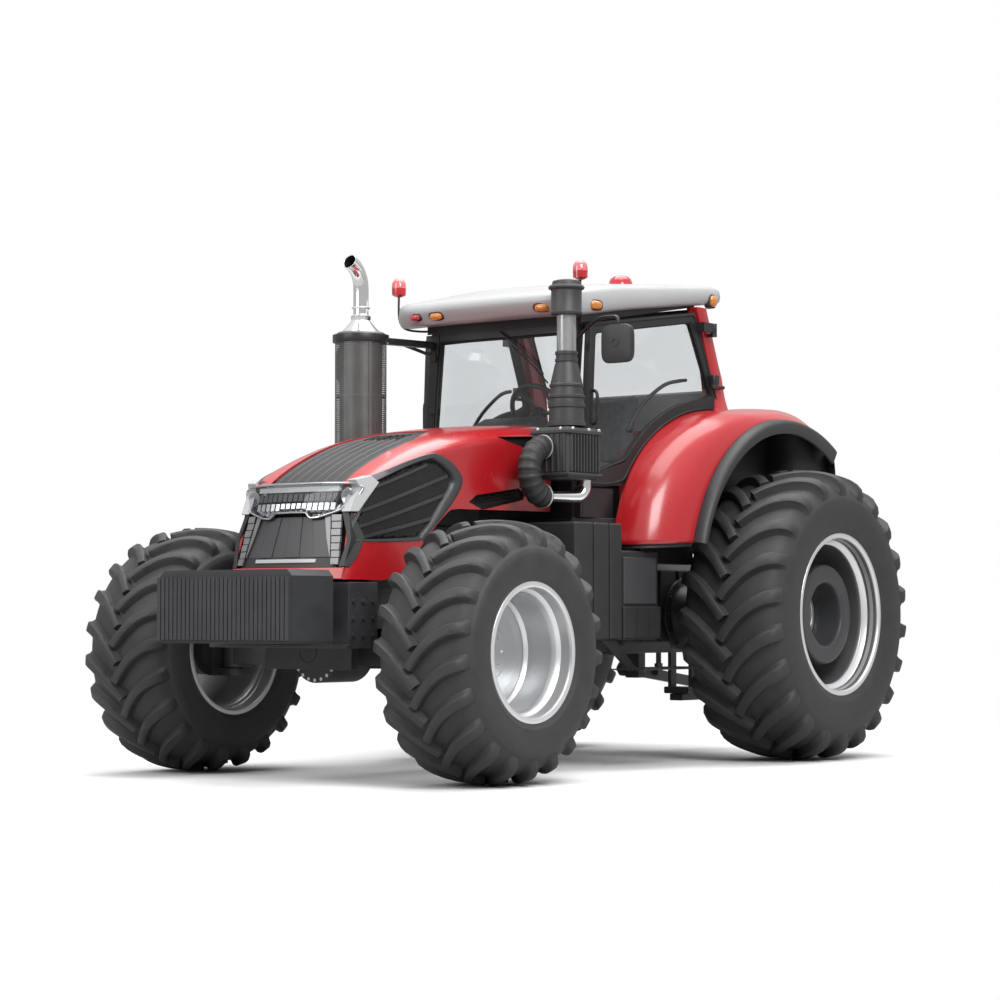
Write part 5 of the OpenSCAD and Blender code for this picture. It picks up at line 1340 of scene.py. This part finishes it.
sweep("intake_return", [(2.052 - 0.92 * t + REAR, 0.640 + 0.40 * t, z) for t, z in turn_pipe], 0.034, chrome,
      "chassis", "intake_pipe", sides=24)


# Tanks and steps: moulded black plastic tanks strapped beside the gearbox, with a tool box panel, and pressed
# steel steps hung below them.
for hand, side in HANDS:
    def slab(name, outline, y0, y1, mat, bevel, node=()):
        k = len(outline)
        verts = [(x + REAR, side * y, z) for y in (y0, y1) for x, z in outline]
        return piece(name + "_" + hand, verts, walls(k), mat, "chassis", node, bevel=bevel, segments=3)
    edges = [1.562, 1.684, 1.696, 1.844, 1.856, 2.036]
    for a, b in ((0, 1), (2, 3), (4, 5)):
        slab("tank_%d" % a, [(edges[a], 0.752), (edges[b], 0.752), (edges[b], 1.428), (edges[a], 1.428)],
             0.502, 0.848, black, 0.014, "fuel_tanks" if side > 0 and a == 0 else ())
    slab("tank_core", [(1.562, 0.756), (2.030, 0.756), (2.030, 1.424), (1.562, 1.424)], 0.504, 0.836, black,
         0.01)
    slab("tool_box", [(1.152, 0.752), (1.556, 0.752), (1.556, 1.273), (1.152, 1.273)], 0.442, 0.826, black,
         0.014)
    slab("tool_box_lid", [(1.190, 0.960), (1.530, 0.960), (1.530, 1.235), (1.190, 1.235)], 0.820, 0.836,
         frame_grey, 0.006)
    slab("tool_box_rim", [(1.158, 0.756), (1.550, 0.756), (1.550, 0.946), (1.158, 0.946)], 0.820, 0.849,
         black, 0.010)
    # the two grooves on the tool box rim are near-black strips of painted shadow
    for x in (1.290, 1.420):
        slab("tool_box_groove_%d" % (x * 1000),
             [(x - 0.004, 0.760), (x + 0.004, 0.760), (x + 0.004, 0.942), (x - 0.004, 0.942)], 0.846, 0.8505,
             painted_shadow, 0.001)
    slab("tank_mount", [(1.300, 0.802), (1.880, 0.802), (1.880, 0.878), (1.300, 0.878)], 0.222, 0.512,
         cab_black, 0.006)
    slab("step_tread", [(0.950, 0.577), (1.600, 0.577), (1.600, 0.585), (0.950, 0.585)], 0.802, 1.018,
         cab_black, 0.002, "steps" if side > 0 else ())
    slab("step_hanger", [(1.720, 0.7520), (1.580, 0.7520), (1.370, 0.584), (1.470, 0.584)], 0.800, 0.815,
         cab_black, 0.003)
    for x in range(13):
        slab("step_tooth_%d" % x,
             [(0.97 + 0.048 * x, 0.5848), (0.99 + 0.048 * x, 0.5848), (0.987 + 0.048 * x, 0.590),
              (0.973 + 0.048 * x, 0.590)], 0.812, 1.008, cab_black, 0.001)


# Frame, axle, engine and gearbox: cast iron and steel, painted dark grey and bolted together; the steered
# knuckles and the hitch are cast steel. Front weights are plain cast slabs hung side by side.
iron = surface("chassis_paint", (0.040, 0.041, 0.044), 0.50, metal=0.1, spread=0.25, patch=7.0, grain=220,
               bump=0.25, dust=0.10)
cast = surface("weight_paint", (0.036, 0.037, 0.040), 0.55, spread=0.15, patch=7.0, grain=220, bump=0.2)
bare = surface("bare_steel", (0.46, 0.46, 0.47), 0.30, metal=1.0, spread=0.1, patch=20.0, grain=700,
               bump=0.05)
dress(cast, 0.003, "front_weights")
dress(iron, 0.008, "front_frame", "engine_block", "front_axle")


def casting(name, lo, hi, chamfer, node=(), rib=0):
    (x0, y0, z0), (x1, y1, z1) = lo, hi
    c = chamfer
    ring = [(y0 + c, z0), (y1 - c, z0), (y1, z0 + c), (y1, z1 - c), (y1 - c, z1), (y0 + c, z1), (y0, z1 - c),
            (y0, z0 + c)]
    verts = [(x + REAR, y, z) for x in (x0, x1) for y, z in ring]
    piece(name, verts, walls(8), iron, "chassis", node, bevel=0.010)
    for i in range(rib):
        x = x0 + (x1 - x0) * (i + 1) / (rib + 1)
        for hand, side in HANDS:
            plate("%s_rib_%s_%d" % (name, hand, i), (x - 0.010, side * y1 - 0.012, z0 + c),
                  (x + 0.010, side * y1 + 0.012, z1 - c), iron, "chassis", bevel=0.005)


casting("rear_housing", (-0.350, -0.260, 0.655), (0.700, 0.260, 1.250), 0.07, "gearbox_housing", 4)
casting("gear_housing", (0.690, -0.220, 0.670), (2.048, 0.220, 1.150), 0.06, (), 7)
casting("housing_joint", (0.672, -0.275, 0.650), (0.712, 0.275, 1.262), 0.07)
casting("bell_joint", (1.990, -0.238, 0.655), (2.048, 0.238, 1.165), 0.06)
for hand, side in HANDS:
    trumpet = [(0.05, 0.20), (0.235, 0.20), (0.235, 0.275), (0.185, 0.285), (0.168, 0.33), (0.150, 0.55),
               (0.146, 0.615), (0.172, 0.622), (0.172, 0.660), (0.140, 0.668), (0.138, 0.800), (0.062, 0.800)]
    piece("axle_trumpet_" + hand, *lathe(rounded(trumpet, 0.012), (REAR, 0, 0.90), side, 64), iron, "chassis",
          smooth=45)
    nuts("trumpet_bolts_" + hand, (REAR, 0, 0.90), side, ring=0.210, y=0.275, count=12, r=0.012, tall=0.014,
         mat=iron, body="chassis")
    plate("link_bracket_" + hand, (-0.340, side * 0.3125 - 0.0525, 0.480),
          (-0.240, side * 0.3125 + 0.0525, 0.760), iron, "chassis", bevel=0.012)
    sweep("link_pin_" + hand, [(-0.300 + REAR, side * y, 0.540) for y in (0.360, 0.41, 0.455)], 0.024, bare,
          "chassis", sides=24)
    sweep("arm_pin_" + hand, [(-0.230 + REAR, side * y, 1.150) for y in (0.20, 0.30, 0.345)], 0.045, iron,
          "chassis", sides=24)
    plate("top_link_ear_" + hand, (-0.440, side * 0.061 - 0.029, 0.945),
          (-0.348, side * 0.061 + 0.029, 1.098), iron, "chassis", bevel=0.010)
for hand, side in HANDS:
    plate("cab_mount_" + hand, (0.780, side * 0.45 - 0.17, 1.335), (1.500, side * 0.45 + 0.17, 1.432),
          cab_black, "chassis", bevel=0.010)
    plate("drawbar_hanger_" + hand, (-0.420, side * 0.080 - 0.012, 0.395),
          (-0.345, side * 0.080 + 0.012, 0.700), iron, "chassis", bevel=0.006)
    plate("cab_mount_rail_" + hand, (0.500, side * 0.628 - 0.028, 1.205),
          (1.080, side * 0.628 + 0.028, 1.425), cab_black, "chassis", bevel=0.010)
    plate("cab_mount_leg_" + hand, (0.800, side * 0.36 - 0.08, 0.980), (0.930, side * 0.36 + 0.08, 1.340),
          iron, "chassis", bevel=0.012)
    plate("valve_block_" + hand, (0.960, side * 0.42 - 0.07, 1.080), (1.110, side * 0.42 + 0.07, 1.250), iron,
          "chassis", bevel=0.010)
    for i in range(3):
        sweep("valve_spool_%s_%d" % (hand, i),
              [(0.985 + 0.05 * i + REAR, side * y, 1.190) for y in (0.46, 0.50, 0.535)], 0.019,
              bare if i == 1 else cab_black, "chassis", sides=16)
        hose = curve_through([(0.985 + 0.05 * i, 0.44, 1.085), (0.98 + 0.05 * i, 0.47, 1.00),
                              (0.90 + 0.06 * i, 0.42, 0.92), (0.82 + 0.05 * i, 0.28, 0.88)], 5)
        sweep("valve_hose_%s_%d" % (hand, i), [(p[0] + REAR, side * p[1], p[2]) for p in hose], 0.013,
              rubber_hose, "chassis", sides=12)
sweep("top_link_pin", [(-0.405 + REAR, y, 1.020) for y in (-0.100, 0.0, 0.100)], 0.012, bare, "chassis",
      sides=20)
plate("drawbar_guide", (-0.430, -0.095, 0.380), (-0.300, 0.095, 0.425), iron, "chassis", bevel=0.008)
bar = [(-0.300, -0.048), (-0.880, -0.048)]
bar += [(-0.900 + 0.048 * math.cos(math.radians(a)), 0.048 * math.sin(math.radians(a)))
        for a in range(-105, -256, -15)]
bar += [(-0.880, 0.048), (-0.300, 0.048)]
eye = [(-0.900 + a, b) for a, b in circle(24, 0.0165)]
tongue = piece("drawbar_tongue", *prism(bar, "z", 0.335, 0.379), iron, "chassis", "drawbar", bevel=0.004)
carve(tongue, *prism(eye, "z", 0.30, 0.42))
dress(iron, 0.004, "knuckle_left", "knuckle_right", "lower_links", "lift_arms", "lift_rods", "top_link")
dress(bare, 0.002, "pto_shaft")
for i in range(9):
    a = math.radians(200 + 17.5 * i)
    for x in (3.004, 3.292):
        c = (x + REAR, 0.150 * math.cos(a), 0.690 + 0.150 * math.sin(a))
        verts = [(c[0] + d, c[1] + p, c[2] + q) for d in ((-0.012, 0.0) if x < 3.1 else (0.012, 0.0))
                 for p, q in circle(6, 0.011)]
        piece("axle_bolt_%d_%d" % (i, x * 1000), verts, walls(6), bare, "chassis", smooth=20)
for hand, side in HANDS:
    for z in (0.79, 0.88, 0.97):
        for x in (3.40, 3.48, 3.56):
            c = (x + REAR, side * 0.492, z)
            verts = [(c[0] + p, c[1] + side * d, c[2] + q) for d in (0.0, 0.011) for p, q in circle(6, 0.014)]
            piece("bolster_bolt_%s_%d_%d" % (hand, x * 100, z * 100), verts, walls(6), iron, "chassis",
                  smooth=20)
    tie = [(2.880, side * 0.300, 0.640), (2.905, side * 0.45, 0.640), (2.940, side * 0.62, 0.640)]
    sweep("steering_rod_" + hand, [(p[0] + REAR, p[1], p[2]) for p in tie], 0.016, bare, "chassis", sides=12)
    sweep("engine_pipe_" + hand,
          [(x + REAR, side * y, z)
           for x, y, z in curve_through([(2.20, 0.255, 1.30), (2.40, 0.285, 1.33), (2.65, 0.275, 1.31),
                                         (2.85, 0.255, 1.26)], 6)], 0.022, cab_black, "chassis", sides=12)
    for i in range(6):
        plate("engine_rib_%s_%d" % (hand, i), (2.14 + 0.15 * i, side * 0.247 - 0.010, 0.96),
              (2.17 + 0.15 * i, side * 0.247 + 0.010, 1.34), iron, "chassis", bevel=0.004)


# Seat and controls: a driver's seat with foam cushions in sewn woven fabric, bolted to a black pedestal on
# the floor, and a moulded steering wheel with three spokes on a slanted column.
fabric = surface("seat_fabric", (0.085, 0.086, 0.090), 0.85, spread=0.25, patch=30.0, grain=900, bump=0.5)
plate("seat_pedestal", (0.565, -0.155, 1.472), (0.895, 0.155, 1.715), black, "chassis", "seat", bevel=0.02)


def cushion(name, outline, half_y):
    k = len(outline)
    verts = [(x + REAR, y, z) for y in (-half_y, half_y) for x, z in outline]
    mesh = bpy.data.meshes.new(name)
    mesh.from_pydata(verts, [], walls(k))
    tidy = bmesh.new()
    tidy.from_mesh(mesh)
    bmesh.ops.recalc_face_normals(tidy, faces=tidy.faces)
    bmesh.ops.bevel(tidy, geom=tidy.edges[:], offset=0.022, segments=3, affect="EDGES", profile=0.5)
    tidy.to_mesh(mesh)
    tidy.free()
    mesh.materials.append(fabric)
    obj = bpy.data.objects.new(name, mesh)
    scene.collection.objects.link(obj)
    mod = obj.modifiers.new("remesh", "REMESH")
    mod.mode, mod.voxel_size = "VOXEL", 0.006
    bpy.context.view_layer.update()
    dense = bpy.data.meshes.new_from_object(obj.evaluated_get(bpy.context.evaluated_depsgraph_get()))
    obj.modifiers.clear()
    obj.data = dense
    start = [v.co.copy() for v in dense.vertices]
    frames, reach = 20, 0.024  # length of the puffing up, and how far it may push the skin
    mod = obj.modifiers.new("stuffing", "CLOTH")
    mod.settings.use_pressure = True
    mod.settings.uniform_pressure_force = 4.0
    mod.settings.effector_weights.gravity = 0.0
    mod.settings.quality = 6
    mod.point_cache.frame_start, mod.point_cache.frame_end = 1, frames
    for f in range(1, frames + 1):
        scene.frame_set(f)
    bpy.context.view_layer.update()
    puffed = bpy.data.meshes.new_from_object(obj.evaluated_get(bpy.context.evaluated_depsgraph_get()))
    obj.modifiers.clear()
    scene.frame_set(1)
    for a, b in zip(start, puffed.vertices):
        move = b.co - a
        if move.length > reach:
            b.co = a + move.normalized() * reach
    obj.data = puffed
    obj.data.polygons.foreach_set("use_smooth", [True] * len(obj.data.polygons))
    mod = obj.modifiers.new("subdivision", "SUBSURF")
    mod.levels = mod.render_levels = 1
    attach(obj, "chassis")


cushion("seat_cushion", [(0.510, 1.735), (0.945, 1.735), (0.965, 1.785), (0.945, 1.830), (0.515, 1.815)],
        0.228)
cushion("seat_back", [(0.492, 1.800), (0.570, 1.815), (0.492, 2.275), (0.448, 2.295), (0.420, 2.265)], 0.215)
hub = Vector((1.215 + REAR, 0, 2.130))
tilt = Matrix.Rotation(math.radians(-58), 3, "Y")
sweep("steering_rim", [hub + tilt @ Vector((*p, 0)) for p in circle(64, 0.195)], 0.0155, black, "chassis",
      "steering_wheel", closed=True, sides=14)
for i in range(3):
    a = math.radians(90 + 120 * i)
    sweep("steering_spoke_%d" % i,
          [hub + tilt @ Vector((r * math.cos(a), r * math.sin(a), 0.004)) for r in (0.02, 0.10, 0.185)],
          lambda t: 0.014 - 0.004 * t, black, "chassis", sides=10)
verts = [hub + tilt @ Vector((r * math.cos(a), r * math.sin(a), z)) for a in around(32)
         for r, z in ((0.045, -0.010), (0.045, 0.008), (0.038, 0.014), (0.001, 0.015))]
piece("steering_hub", verts, spun_faces(32, 4), black, "chassis", smooth=40)
